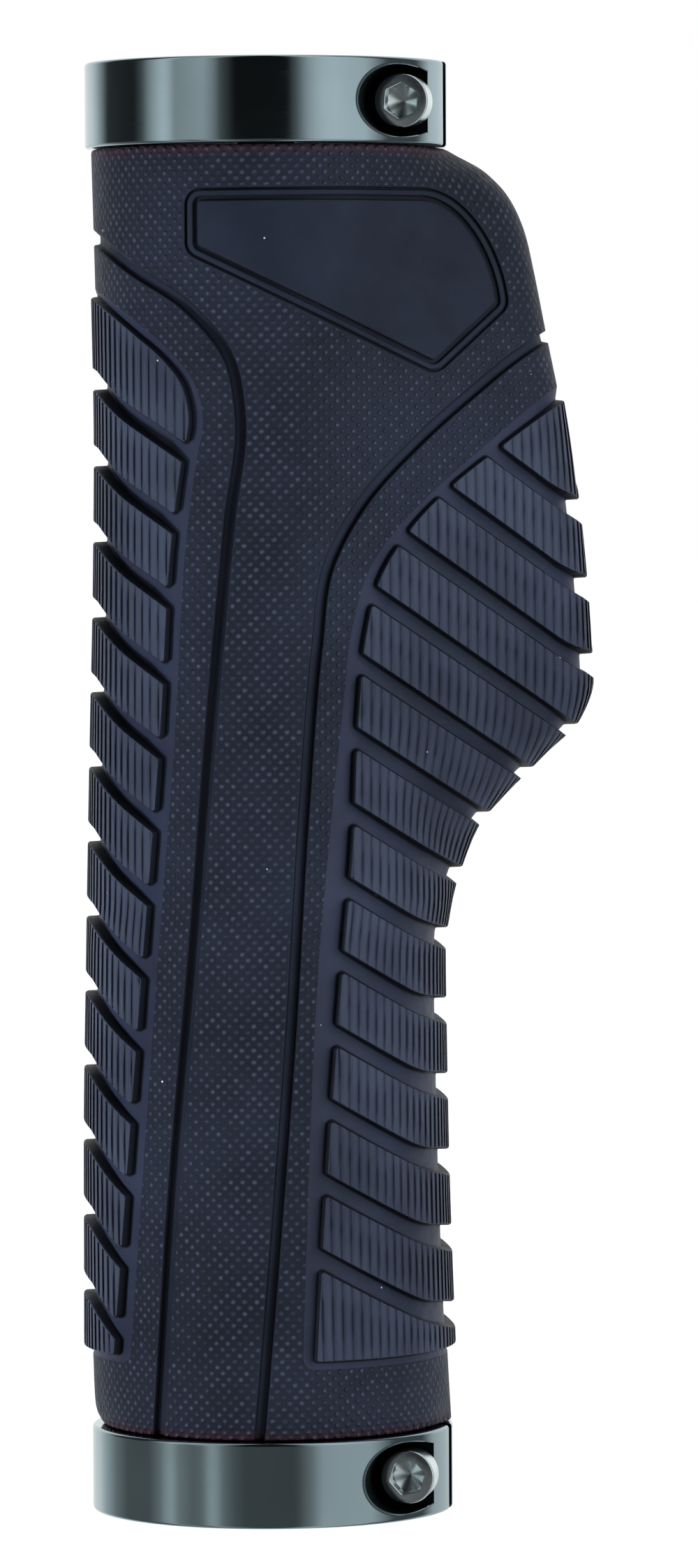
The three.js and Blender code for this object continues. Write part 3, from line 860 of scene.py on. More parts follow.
def rib_field(half, side, edge, floor_edge, ribs):
    """The ribs of one side and the floor around them. Returns the floor's edge on the dotted surface."""
    outline = join_rounded(
        [spline(floor_edge), straight(floor_edge[-1], (side * FAR_X, FLOOR_BOTTOM_Z))], [FLOOR_CORNER_RADIUS],
    )
    around = Strip(half, Path(outline, outward=-side), floor_edge_profile(), EDGE_SPACING, side)
    # The ramps beside the ribs get the lighter, bluer rubber: painted sheen
    half.strip(around.rows, [DOTTED, FLOOR, FLOOR])
    feet = []
    for path in rib_paths(edge, ribs, side):
        strip = Strip(half, path, rib_profile(), RIB_SPACING, side, STRIATION_STEP, floor_lift(outline))
        lowered(half, strip)
        rib_top(half, strip, side)
        # The ribs' lower edge rounding, walls and feet get the darker rubber: painted shade at each rib's
        # foot
        half.strip(strip.rows, [RIBBED] + [CREVICE_SHADE] * 4)
        feet.append(list(strip.rows[-1])[::-1])
    floor = level("floor")
    loop = list(around.rows[-1])
    for foot in feet[::-1]:
        loop += side_points(half, loop[-1], foot[0], floor, side)
        loop += foot
    loop += side_points(half, loop[-1], loop[0], floor, side)
    # The floor between the ribs gets the lighter, bluer rubber too: painted sheen
    half.fill(loop, [], [], FLOOR)
    return list(around.rows[0])


def pad_and_frame(half):
    """The smooth pad and the double groove around it. Returns the frame's outermost row."""
    pad = join_rounded(
        [
            straight(PAD_LEFT, PAD_TOP_LEFT), straight(PAD_TOP_LEFT, PAD_TOP_RIGHT),
            bezier(PAD_TOP_RIGHT, *PAD_ROUND, PAD_RIGHT, count=160), straight(PAD_RIGHT, PAD_FOOT),
            straight(PAD_FOOT, PAD_LEFT),
        ],
        PAD_CORNER_RADII, closed=True,
    )
    path = Path(pad, outward=-1, closed=True)
    cost = path.run / EDGE_SPACING + turning(path.normal) / PAD_TURN
    t = np.interp(np.linspace(0, cost[-1], int(cost[-1]) + 1)[:-1], cost, path.run)
    rows = []
    for distance, rise in pad_profile():
        x, z = path.at(t, distance)
        row = half.add(sunk_x(x, z, 0 * z, rise(z)), z, rise(z))
        rows.append(np.append(row, row[0]))
    # The pad grooves' walls and bottoms get the darker rubber: painted shade
    tags = [SMOOTH] * 2 + [CREVICE_SHADE] * 3 + [SMOOTH] * 2
    half.strip(rows, [*tags, SMOOTH, *tags])
    fill_region(half, list(rows[-1][:-1]), SMOOTH, PAD_SPACING, clearance=0.35)
    return list(rows[0][:-1])


def half_sleeve():
    half = Half()
    skin = level("skin")
    field_rows = {
        -1: rib_field(half, -1, LEFT_FIELD_EDGE, LEFT_FLOOR_EDGE, LEFT_RIBS),
        1: rib_field(half, 1, RIGHT_FIELD_EDGE, RIGHT_FLOOR_EDGE, RIGHT_RIBS),
    }
    groove_rows = {}
    # The long grooves' walls get the darker rubber as painted shade; their bottoms stay smooth rubber
    tags = [DOTTED, SMOOTH, *[CREVICE_SHADE] * 3, SMOOTH]
    for side, points in ((-1, LEFT_GROOVE), (1, RIGHT_GROOVE)):
        strip = Strip(half, Path(spline(points), outward=-side), groove_profile(), EDGE_SPACING, side)
        half.strip(strip.rows, tags + tags[::-1])
        groove_rows[side] = [list(row) for row in strip.rows]
    # Dotted skin between each groove and its rib field
    for side in (-1, 1):
        field_row, groove_row = field_rows[side], groove_rows[side][-1]
        corner = half.add(side_x(SLEEVE_BOTTOM, 0.0, side), SLEEVE_BOTTOM, 0.0, y=0.0)[0]
        loop = groove_row + end_line(half, groove_row[-1], corner) + [corner]
        loop += side_points(half, corner, field_row[-1], skin, side, spacing=0.5)
        loop += field_row[::-1]
        loop += side_points(half, field_row[0], groove_row[0], skin, side)
        fill_region(half, loop, DOTTED, SKIN_SPACING)
    # Dotted skin between the grooves, with the pad's frame as a hole
    hole = pad_and_frame(half)
    left, right = (half.add(side_x(SLEEVE_TOP, 0.0, side), SLEEVE_TOP, 0.0, y=0.0)[0] for side in (-1, 1))
    left_row, right_row = groove_rows[-1][0], groove_rows[1][0]
    loop = left_row + end_line(half, left_row[-1], right_row[-1])
    loop += right_row[::-1]
    loop += side_points(half, right_row[0], right, skin, 1, spacing=0.5) + [right]
    loop += end_line(half, right, left) + [left]
    loop += side_points(half, left, left_row[0], skin, -1, spacing=0.5)
    fill_region(half, loop, DOTTED, SKIN_SPACING, holes=[hole])
    return half


def end_face(points, faces, tags, z):
    """Closes one end between the sleeve's outline and its bore, on the half with y from 0 up."""
    rim = [i for i, p in enumerate(points) if abs(p[2] - z) < 1e-6]
    rim.sort(key=lambda i: points[i][0])
    angles = np.linspace(0, math.pi, BORE_STEPS + 1)
    start = len(points)
    for a in angles:
        points.append([SLEEVE_BORE_RADIUS * math.cos(a), max(SLEEVE_BORE_RADIUS * math.sin(a), 0), z])
    points[start][1] = points[start + BORE_STEPS][1] = 0.0
    bore = list(range(start, start + BORE_STEPS + 1))
    loop = rim + bore
    flat = np.array([points[i][:2] for i in loop])
    edges = [(i, (i + 1) % len(loop)) for i in range(len(loop))]
    made = delaunay_2d_cdt([Vector(p) for p in flat], edges, [], 0, 1e-7)
    origin = [o[0] for o in made[3]]
    triangles = np.array([[origin[v] for v in f] for f in made[2]])
    inside = inside_loops(flat[triangles].mean(axis=1), [flat])
    for t in triangles[inside]:
        faces.append(tuple(loop[v] for v in t))
        tags.append(SMOOTH)
    return bore


def whole_sleeve():
    """The closed sleeve: vertices, faces, region tags and the distance along the section."""
    half = half_sleeve()
    points = [list(p) for p in half.all_points()]
    faces, tags = list(half.faces), list(half.tags)
    low = end_face(points, faces, tags, SLEEVE_BOTTOM)
    high = end_face(points, faces, tags, SLEEVE_TOP)
    for i in range(BORE_STEPS):
        faces.append((low[i], low[i + 1], high[i + 1], high[i]))
        tags.append(SMOOTH)
    points = np.array(points)
    arcs = np.concatenate([*half.own_arcs, np.zeros(len(points) - half.count)])
    on_plane = points[:, 1] == 0
    mirror = np.arange(len(points))
    off = np.nonzero(~on_plane)[0]
    mirror[off] = len(points) + np.arange(len(off))
    kept = [(f, t) for f, t in zip(faces, tags) if not all(on_plane[list(f)])]
    all_points = np.vstack([points * (1, -1, 1), points[off]])
    all_faces = [f for f, _ in kept] + [tuple(mirror[v] for v in reversed(f)) for f, _ in kept]
    return all_points, all_faces, [t for _, t in kept] * 2, np.concatenate([arcs, arcs[off]])


# Rings and screws


def pocket_rows():
    """Rows around the screw's counterbore, from the ring's outside in: radius and depth below the outside."""
    rows = []
    for degrees in (0, 30, 60, 90):
        a = math.radians(degrees)
        radius = POCKET_RADIUS + POCKET_EDGE_RADIUS * (1 - math.sin(a))
        rows.append((radius, POCKET_EDGE_RADIUS * (1 - math.cos(a))))
    return rows


def pocket_end(radius, depth):
    """Angle around the screw at which a pocket row meets the pocket's floor plane."""
    x = math.sqrt((RING_RADIUS - depth) ** 2 - POCKET_FLOOR ** 2)
    return math.acos((x - SCREW_OFFSET) / radius)


def ring_body():
    """The ring with its counterbore, before the cuts: vertices and faces."""
    middle = RING_HEIGHT / 2
    rows = pocket_rows()
    last = 40
    share = np.linspace(0, 1, last + 1)
    turns = [math.pi + (pocket_end(*row) - math.pi) * share for row in rows]
    x = SCREW_OFFSET + rows[0][0] * np.cos(turns[0])
    pocket_angles = -np.arccos(x / RING_RADIUS)
    even = np.radians(np.arange(-180, 180, 1.5))
    clear = (even < pocket_angles.min() - 0.008) | (even > pocket_angles.max() + 0.008)
    angles = np.sort(np.concatenate([even[clear], pocket_angles]))
    in_pocket = {int(np.argmin(np.abs(angles - a))): i for i, a in enumerate(pocket_angles)}
    points, faces = [], []

    def add(*point):
        points.append(point)
        return len(points) - 1

    arc = np.radians([0, 22.5, 45, 67.5, 90])
    inset = RING_RADIUS - RING_RIM
    profile = [(inset + RING_RIM * math.cos(a), RING_RIM * (1 - math.sin(a))) for a in arc]
    profile += [(BORE_RADIUS + BORE_CHAMFER, 0.0), (BORE_RADIUS, BORE_CHAMFER)]
    profile += [(r, RING_HEIGHT - z) for r, z in reversed(profile)]
    around = [[add(r * math.cos(a), r * math.sin(a), z) for a in angles] for r, z in profile]
    count = len(angles)
    for low, high in zip(around[:-1], around[1:]):
        faces += [(low[i], low[(i + 1) % count], high[(i + 1) % count], high[i]) for i in range(count)]
    bottom, top = around[0], around[-1]

    def pocket_point(row, i, way):
        radius, depth = rows[row]
        px = SCREW_OFFSET + radius * math.cos(turns[row][i])
        pz = middle + way * radius * math.sin(turns[row][i])
        return add(px, -math.sqrt((RING_RADIUS - depth) ** 2 - px * px), pz)

    lower = [[pocket_point(row, i, -1) for i in range(last + 1)] for row in range(len(rows))]
    upper = [
        [lower[row][0]] + [pocket_point(row, i, 1) for i in range(1, last + 1)] for row in range(len(rows))
    ]
    for i in range(count):
        j = (i + 1) % count
        a, b = in_pocket.get(i), in_pocket.get(j)
        if a is None or b is None:
            left = [bottom[i], *([lower[0][a], upper[0][a]] if a == last else []), top[i]]
            right = [bottom[j], *([lower[0][b]] if b == 0 else []), top[j]]
            faces.append(tuple(left[::-1] + right))
        else:
            faces.append((bottom[i], bottom[j], lower[0][b], lower[0][a]))
            faces.append((upper[0][a], upper[0][b], top[j], top[i]))
    foot = []
    for side in (lower, upper):
        wall = side[-1]
        start = foot[0][0] if foot else add(points[wall[0]][0], -POCKET_FLOOR, points[wall[0]][2])
        between = [add(points[n][0], -POCKET_FLOOR, points[n][2]) for n in wall[1:-1]]
        foot.append([start, *between, wall[-1]])
        rings = side + [foot[-1]]
        for a, b in zip(rings[:-1], rings[1:]):
            faces += [tuple(dict.fromkeys([a[i], a[i + 1], b[i + 1], b[i]])) for i in range(last)]
    lower_edge, upper_edge = ([row[last] for row in side[:-1]] for side in (lower, upper))
    faces.append(tuple(foot[0] + lower_edge[::-1] + upper_edge + foot[1][:0:-1]))
    return points, faces


def box_mesh(x, y, z, turn=0.0):
    """A box between (low, high) pairs, turned about Z."""
    c, s = math.cos(turn), math.sin(turn)
    corners = [(a * c - b * s, a * s + b * c, h) for h in z for b in y for a in x]
    return corners, [(0, 2, 3, 1), (4, 5, 7, 6), (0, 1, 5, 4), (2, 6, 7, 3), (0, 4, 6, 2), (1, 3, 7, 5)]


def rod_mesh(radius, start, end, steps=48):
    """A round rod along the screw's line, between two distances towards the front."""
    angles = [2 * math.pi * i / steps for i in range(steps)]
    points = [
        (SCREW_OFFSET + radius * math.cos(a), -reach, RING_HEIGHT / 2 + radius * math.sin(a))
        for reach in (start, end) for a in angles
    ]
    sides = [(i, (i + 1) % steps, steps + (i + 1) % steps, steps + i) for i in range(steps)]
    return points, sides + [tuple(range(steps))[::-1], tuple(range(steps, 2 * steps))]


def bare_object(name, points, faces):
    """Object from millimetres without a material, for the cuts."""
    mesh = bpy.data.meshes.new(name)
    mesh.from_pydata([tuple(p) for p in np.array(points) * MM], [], faces)
    work = bmesh.new()
    work.from_mesh(mesh)
    bmesh.ops.recalc_face_normals(work, faces=work.faces)
    work.to_mesh(mesh)
    work.free()
    obj = bpy.data.objects.new(name, mesh)
    bpy.context.scene.collection.objects.link(obj)
    return obj


def carved(body, cutters):
    """Vertices in millimetres and faces of a body less its cutters."""
    target = bare_object("body", *body)
    for points, faces in cutters:
        tool = bare_object("cutter", points, faces)
        modifier = target.modifiers.new("cut", "BOOLEAN")
        modifier.operation = "DIFFERENCE"
        modifier.solver = "EXACT"
        modifier.object = tool
        bpy.context.view_layer.objects.active = target
        bpy.ops.object.modifier_apply(modifier=modifier.name)
        bpy.data.objects.remove(tool)
    points = np.array([v.co for v in target.data.vertices]) / MM
    faces = [tuple(p.vertices) for p in target.data.polygons]
    bpy.data.objects.remove(target)
    return points, faces


def clamp_ring():
    """The lower ring in the grip's frame, with notches for the core's tabs in its upper side."""
    notches = []
    for degrees in TAB_ANGLES:
        turn = math.radians(degrees) - SPLIT_ANGLE
        notches.append(box_mesh(
            (NOTCH_INNER - 0.5, NOTCH_OUTER), (-NOTCH_WIDTH / 2, NOTCH_WIDTH / 2),
            (RING_HEIGHT - NOTCH_DEPTH, RING_HEIGHT + 1), turn,
        ))
    slit = box_mesh((5, 20), (-SPLIT_WIDTH / 2, SPLIT_WIDTH / 2), (-1, RING_HEIGHT + 1))
    hole = rod_mesh(SHANK_HOLE_RADIUS, SCREW_TIP - 0.3, POCKET_FLOOR + 1)
    points, faces = carved(ring_body(), [slit, hole, *notches])
    return turned(points, SPLIT_ANGLE), faces


def turned(points, angle):
    """Points turned about Z."""
    c, s = math.cos(angle), math.sin(angle)
    p = np.array(points, float)
    return np.stack([p[:, 0] * c - p[:, 1] * s, p[:, 0] * s + p[:, 1] * c, p[:, 2]], axis=1)


def pocket_faces(points, faces, base_z):
    """1 for the faces inside the screw's counterbore, which get a very dark painted shade, 0 for the others.
    """
    middles = turned([np.mean(points[list(f)], axis=0) for f in faces], -SPLIT_ANGLE)
    away = np.hypot(middles[:, 0] - SCREW_OFFSET, middles[:, 2] - base_z - RING_HEIGHT / 2)
    sunk = np.hypot(middles[:, 0], middles[:, 1]) < RING_RADIUS - RING_RIM
    return ((away < POCKET_RADIUS + 0.1) & (middles[:, 1] < 0) & sunk).astype(int)


def polish(obj, base_z):
    """Gives the ring's outside and rims the exact normals of a turned part, for clean reflections."""
    mesh = obj.data
    inset = RING_RADIUS - RING_RIM
    normals = np.zeros((len(mesh.loops), 3))
    for polygon in mesh.polygons:
        own = np.array(polygon.normal)
        for k in polygon.loop_indices:
            x, y, z = np.array(mesh.vertices[mesh.loops[k].vertex_index].co) / MM
            z -= base_z
            radius = math.hypot(x, y)
            zc = min(max(z, RING_RIM), RING_HEIGHT - RING_RIM)
            out = np.array([x / radius * (radius - inset), y / radius * (radius - inset), z - zc])
            size = np.linalg.norm(out)
            if radius > inset - 1e-3 and abs(size - RING_RIM) < 0.01 and own @ out > 0.9 * size:
                normals[k] = out / size
            else:
                normals[k] = np.array(mesh.corner_normals[k].vector)
    mesh.normals_split_custom_set([tuple(n) for n in normals])


def clamp_screw(hex_turn):
    """A socket head cap screw in the grip's frame, at the lower ring: vertices and faces."""
    steps = 48
    apothem = HEX_ACROSS_FLATS / 2
    angles = np.array([2 * math.pi * i / steps for i in range(steps)])
    hexagon = apothem / np.cos((angles - hex_turn) % (math.pi / 3) - math.pi / 6)
    head_foot, hex_floor = SCREW_FACE - HEAD_HEIGHT, SCREW_FACE - HEX_DEPTH
    rows = [
        (CENTRE_RADIUS, SCREW_TIP), (0.6 * SHANK_RADIUS, SCREW_TIP), (SHANK_RADIUS, SCREW_TIP + 0.5),
        (SHANK_RADIUS, head_foot), (HEAD_RADIUS - 0.15, head_foot), (HEAD_RADIUS, head_foot + 0.15),
        (HEAD_RADIUS, SCREW_FACE - 0.14), (HEAD_RADIUS - 0.05, SCREW_FACE - 0.05),
        (HEAD_RADIUS - 0.14, SCREW_FACE), (hexagon + HEX_EDGE, SCREW_FACE), (hexagon, SCREW_FACE - HEX_EDGE),
        (hexagon, hex_floor), (apothem * 0.96, hex_floor - 0.05), (CENTRE_RADIUS, hex_floor - 0.75),
    ]
    points, faces = [], []
    for radius, reach in rows:
        points += [
            (SCREW_OFFSET + r * math.cos(a), -reach, RING_HEIGHT / 2 + r * math.sin(a))
            for r, a in zip(np.broadcast_to(radius, steps), angles)
        ]
    for a in range(0, (len(rows) - 1) * steps, steps):
        b = a + steps
        faces += [(a + i, a + (i + 1) % steps, b + (i + 1) % steps, b + i) for i in range(steps)]
    faces.append(tuple(range(steps)))
    faces.append(tuple(range((len(rows) - 1) * steps, len(rows) * steps)))
    return turned(points, SPLIT_ANGLE), faces


# Objects


def put(name, points, faces, materials, tags=None, arcs=None, sharp=40.0, weighted=True):
    """Makes a mesh object from millimetres, outward facing and smooth, and hangs it on the body."""
    mesh = bpy.data.meshes.new(name)
    mesh.from_pydata([tuple(p) for p in np.array(points) * MM], [], faces)
    if arcs is not None:
        attribute = mesh.attributes.new("arc", "FLOAT", "POINT")
        attribute.data.foreach_set("value", np.array(arcs, np.float32))
    for material in materials:
        mesh.materials.append(material)
    if tags is not None:
        mesh.polygons.foreach_set("material_index", np.array(tags, np.int32))
    work = bmesh.new()
    work.from_mesh(mesh)
    loose = [v for v in work.verts if not v.link_faces]
    bmesh.ops.delete(work, geom=loose, context="VERTS")
    bmesh.ops.recalc_face_normals(work, faces=work.faces)
    work.to_mesh(mesh)
    work.free()
    mesh.polygons.foreach_set("use_smooth", np.ones(len(mesh.polygons), bool))
    mesh.set_sharp_from_angle(angle=math.radians(sharp))
    obj = bpy.data.objects.new(name, mesh)
    bpy.context.scene.collection.objects.link(obj)
    if weighted:
        weigh(obj)
    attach(obj, "root")
    return obj


def weigh(obj):
    """Lets large faces set the shading normals, so that flats beside small fillets stay flat."""
    modifier = obj.modifiers.new("weighted", "WEIGHTED_NORMAL")
    modifier.keep_sharp = True
    bpy.context.view_layer.objects.active = obj
    bpy.ops.object.modifier_apply(modifier=modifier.name)


# Materials


class Nodes:
    """Short calls for building one node tree."""

    def __init__(self, tree):
        self.tree = tree
        tree.nodes.clear()

    def add(self, kind, inputs=None, **settings):
        node = self.tree.nodes.new(kind)
        for key, value in settings.items():
            setattr(node, key, value)
        for key, value in (inputs or {}).items():
            self.set(node, key, value)
        return node

    def set(self, node, key, value):
        socket = node.inputs[key]
        if isinstance(value, bpy.types.NodeSocket):
            self.tree.links.new(value, socket)
        else:
            socket.default_value = value

    def math(self, operation, a, b=0.0):
        return self.add("ShaderNodeMath", {0: a, 1: b}, operation=operation).outputs[0]

    def ramp(self, value, low, high, to_low=0.0, to_high=1.0):
        node = self.add(
            "ShaderNodeMapRange", {0: value, 1: low, 2: high, 3: to_low, 4: to_high},
            interpolation_type="SMOOTHSTEP",
        )
        return node.outputs[0]

    def mix(self, share, a, b):
        node = self.add("ShaderNodeMix", data_type="RGBA")
        self.set(node, 0, share)
        for index, value in ((6, a), (7, b)):
            self.set(node, index, value)
        return node.outputs[2]

    def noise(self, place, scale, detail=3.0, roughness=0.5):
        node = self.add(
            "ShaderNodeTexNoise", {"Vector": place, "Scale": scale, "Detail": detail, "Roughness": roughness},
        )
        return node.outputs[0]


def rgb(red, green, blue):
    """A colour given in 0-255 display values."""
    def linear(v):
        v /= 255
        return v / 12.92 if v <= 0.04045 else ((v + 0.055) / 1.055) ** 2.4
    return (linear(red), linear(green), linear(blue), 1.0)


SHEEN = (0.6, 0.75, 1.0, 1.0)
END_TINT = rgb(44, 22, 26)
END_TINT_REACH = 1.2
DUST = rgb(150, 160, 175)
DUST_SIZES = ((190.0, 0.82, 0.015, 0.035), (420.0, 0.85, 0.02, 0.05))
# Painted highlight on the tops of the moulded dots
DOT_HIGHLIGHT = rgb(44, 49, 64)
# Painted shade in the valleys of the ribs' fine lines
VALLEY_SHADE = rgb(8, 9, 13)


def new_material(name):
    """A material with an empty tree, the call helper for it, and the place on the object."""
    material = bpy.data.materials.new(name)
    material.use_nodes = True
    n = Nodes(material.node_tree)
    return material, n, n.add("ShaderNodeTexCoord").outputs["Object"]


def finish_material(n, height, inputs):
    """Adds the bump, in millimetres, the shader and the output."""
    bump = n.add("ShaderNodeBump", {"Strength": 1.0, "Distance": MM, "Height": height})
    shader = n.add("ShaderNodeBsdfPrincipled", {"Normal": bump.outputs[0], **inputs})
    n.add("ShaderNodeOutputMaterial", {0: shader.outputs[0]})


def dust(n, place):
    """1 on small round specks that are spread at random, in two sizes."""
    marks = []
    for scale, share, small, large in DUST_SIZES:
        cells = n.add("ShaderNodeTexVoronoi", {"Vector": place, "Scale": scale, "Randomness": 1.0})
        random = n.add("ShaderNodeSeparateColor", {0: cells.outputs["Color"]})
        size = n.ramp(random.outputs[1], 0, 1, small, large)
        chosen = n.math("GREATER_THAN", random.outputs[0], share)
        marks.append(n.math("MULTIPLY", n.math("LESS_THAN", cells.outputs["Distance"], size), chosen))
    return n.math("MAXIMUM", *marks)


def along_section(n):
    """The distance along the sleeve's section, which put() keeps at the vertices."""
    return n.add("ShaderNodeAttribute", attribute_name="arc").outputs["Fac"]


def dot_pattern(n, z):
    """1 on the moulded dots: two square grids, each in the gaps of the other."""
    u = n.math("DIVIDE", along_section(n), DOT_PITCH)
    v = n.math("DIVIDE", n.math("DIVIDE", z, MM), DOT_PITCH)
    squares = []
    for shift in (0.0, 0.5):
        du, dv = (n.math("SUBTRACT", n.math("FRACT", n.math("ADD", w, shift + 100)), 0.5) for w in (u, v))
        squares.append(n.math("ADD", n.math("MULTIPLY", du, du), n.math("MULTIPLY", dv, dv)))
    return n.ramp(n.math("SQRT", n.math("MINIMUM", *squares)), 0.06, 0.28, 1.0, 0.0)


def rubber(name, dark, light, gloss, dots=False, ridges=False, coat=0.0):
    """Dark rubber between two colours, redder close to the sleeve's ends, with specks of pale dust. Dots get
    a painted highlight on their tops, and the ribs' fine lines painted shade in their valleys.
    """
    material, n, place = new_material(name)
    z = n.add("ShaderNodeSeparateXYZ", {0: place}).outputs[2]
    broad = n.noise(place, 60.0, 4.0, 0.6)
    fine = n.noise(place, 900.0, 3.0, 0.6)
    base = n.mix(n.ramp(broad, 0.3, 0.7), dark, light)
    above, below = n.math("SUBTRACT", z, SLEEVE_BOTTOM * MM), n.math("SUBTRACT", SLEEVE_TOP * MM, z)
    ends = n.ramp(n.math("MINIMUM", above, below), 0.0, END_TINT_REACH * MM, 1.0, 0.0)
    base = n.mix(n.math("MULTIPLY", ends, 0.5), base, END_TINT)
    colour = n.mix(n.math("MULTIPLY", dust(n, place), 0.6), base, DUST)
    height = n.math("MULTIPLY", fine, 0.012)
    if dots:
        dot = dot_pattern(n, z)
        # The dots' tops are painted lighter as a highlight, more on some than on others at random
        dot_highlight_share = n.ramp(n.noise(place, 1100.0, 1.0, 0.5), 0.35, 0.7, 0.25, 1.0)
        height = n.math("ADD", height, n.math("MULTIPLY", dot, DOT_HEIGHT))
        colour = n.mix(n.math("MULTIPLY", dot, n.math("MULTIPLY", dot_highlight_share, 0.7)), colour, DOT_HIGHLIGHT)
    if ridges:
        turns = n.math("ADD", n.math("DIVIDE", along_section(n), STRIATION_PITCH), 100.5)
        away = n.math("ABSOLUTE", n.math("SUBTRACT", n.math("FRACT", turns), 0.5))
        valley = n.ramp(away, 0.0, 0.2, 1.0, 0.0)
        height = n.math("SUBTRACT", height, n.math("MULTIPLY", valley, 0.05))
        # The fine lines' valleys are painted darker: painted shade beside their bump
        colour = n.mix(n.math("MULTIPLY", valley, 0.35), colour, VALLEY_SHADE)
    finish_material(n, height, {
        "Base Color": colour, "Roughness": n.ramp(fine, 0.2, 0.8, 0.48, 0.62),
        "Specular IOR Level": gloss, "Specular Tint": SHEEN, "Coat Weight": coat, "Coat Roughness": 0.3,
    })
    return material


def metal(name, colour, low, high, scratch):
    """Metal with faint lines around it; low and high are its roughness."""
    material, n, place = new_material(name)
    stretched = n.add("ShaderNodeMapping", {"Vector": place, "Scale": (1.0, 1.0, 22.0)}).outputs[0]
    lines = n.noise(stretched, 700.0, 3.0, 0.6)
    cloud = n.noise(place, 90.0, 3.0, 0.5)
    both = n.math("ADD", n.math("MULTIPLY", lines, 0.5), n.math("MULTIPLY", cloud, 0.5))
    finish_material(n, n.math("MULTIPLY", lines, scratch), {
        "Base Color": n.mix(n.ramp(cloud, 0.3, 0.7), colour, scaled(colour, 0.9)),
        "Metallic": 1.0, "Roughness": n.ramp(both, 0.3, 0.7, low, high),
    })
    return material


def scaled(colour, factor):
    return tuple(c * factor for c in colour[:3]) + (1.0,)


def plastic(name, colour):
    """Plain dark plastic with a fine grain."""
    material, n, place = new_material(name)
    grain = n.noise(place, 1500.0, 2.0, 0.5)
    broad = n.ramp(n.noise(place, 80.0, 3.0, 0.5), 0.3, 0.7)
    finish_material(n, n.math("MULTIPLY", grain, 0.01), {
        "Base Color": n.mix(broad, colour, scaled(colour, 1.3)),
        "Roughness": n.math("ADD", n.math("MULTIPLY", broad, 0.12), 0.38),
    })
    return material


# Camera, floor and light


CAMERA_PLACE = (0.15, -722.1, 95.6)
CAMERA_TURN = (0.558, 2.407, -0.2855)
CAMERA_LENS = 184.25
FLOOR_REACH = 6.0

# Brightness of what the metal mirrors, by degrees from the front: seen in the upper and the lower ring
UPPER_BANDS = (
    (-180, 1.0), (-146, 1.0), (-138, 0.8), (-129, 0.4), (-121, 0.05), (-92, 0.02), (-85, 0.12), (-77, 0.57),
    (-69, 0.9), (-64, 0.76), (-60, 0.46), (-40, 0.6), (-33, 0.36), (-29, 0.12), (-20, 0.01), (14, 0.01),
    (20, 0.17), (27, 0.57), (36, 0.86), (44, 0.92), (66, 0.85), (84, 0.1), (112, 0.1), (128, 0.9), (180, 1.0),
)
LOWER_BANDS = (
    (-180, 0.9), (-146, 0.88), (-137, 0.65), (-120, 0.28), (-107, 0.14), (-86, 0.14), (-77, 0.29),
    (-72, 0.51), (-68, 0.59), (-63, 0.33), (-52, 0.2), (-46, 0.25), (-40, 0.55), (-36, 0.48), (-32, 0.26),
    (-25, 0.15), (-18, 0.1), (15, 0.1), (25, 0.3), (32, 0.62), (66, 0.66), (84, 0.1), (112, 0.1),
    (125, 0.7), (180, 0.9),
)

# Lamps: name, place and target in metres, size in metres, power in watts
LAMPS = (
    ("key", (1.0, -0.5, 0.35), (0, 0, 0.05), (0.7, 0.9), 18.0),
    ("low_right", (0.16, -0.2, 0.02), (0, 0, 0.03), (0.06, 0.06), 0.9),
    ("low_left", (-0.26, -0.1, 0.03), (0, 0, 0.03), (0.06, 0.06), 2.2),
)


def make_camera():
    """Stands where the photo's camera stood, found from the rings' outlines."""
    yaw, pitch, roll = (math.radians(degrees) for degrees in CAMERA_TURN)
    level_ahead = Vector((math.sin(yaw), math.cos(yaw), 0))
    level_right = Vector((math.cos(yaw), -math.sin(yaw), 0))
    world_up = Vector((0, 0, 1))
    ahead = level_ahead * math.cos(pitch) - world_up * math.sin(pitch)
    up = world_up * math.cos(pitch) + level_ahead * math.sin(pitch)
    right = level_right * math.cos(roll) + up * math.sin(roll)
    up = up * math.cos(roll) - level_right * math.sin(roll)
    data = bpy.data.cameras.new("camera")
    data.sensor_width = 36.0
    data.lens = CAMERA_LENS
    data.clip_start, data.clip_end = 0.01, 50.0
    camera = bpy.data.objects.new("camera", data)
    turn = Matrix((right, up, -ahead)).transposed()
    camera.matrix_world = Matrix.Translation(Vector(CAMERA_PLACE) * MM) @ turn.to_4x4()
    bpy.context.scene.collection.objects.link(camera)
    bpy.context.scene.camera = camera


def bands(n, azimuth, stops):
    """Brightness by compass direction, from (degrees, value) stops with soft steps."""
    ramp = n.add("ShaderNodeValToRGB", {0: n.math("ADD", n.math("DIVIDE", azimuth, 2 * math.pi), 0.5)})
    elements = ramp.color_ramp.elements
    while len(elements) > 1:
        elements.remove(elements[-1])
    for i, (degrees, value) in enumerate(stops):
        at = degrees / 360 + 0.5
        element = elements[0] if i == 0 else elements.new(at)
        element.position = at
        element.color = (value, value, value, 1)
    return ramp.outputs[0]


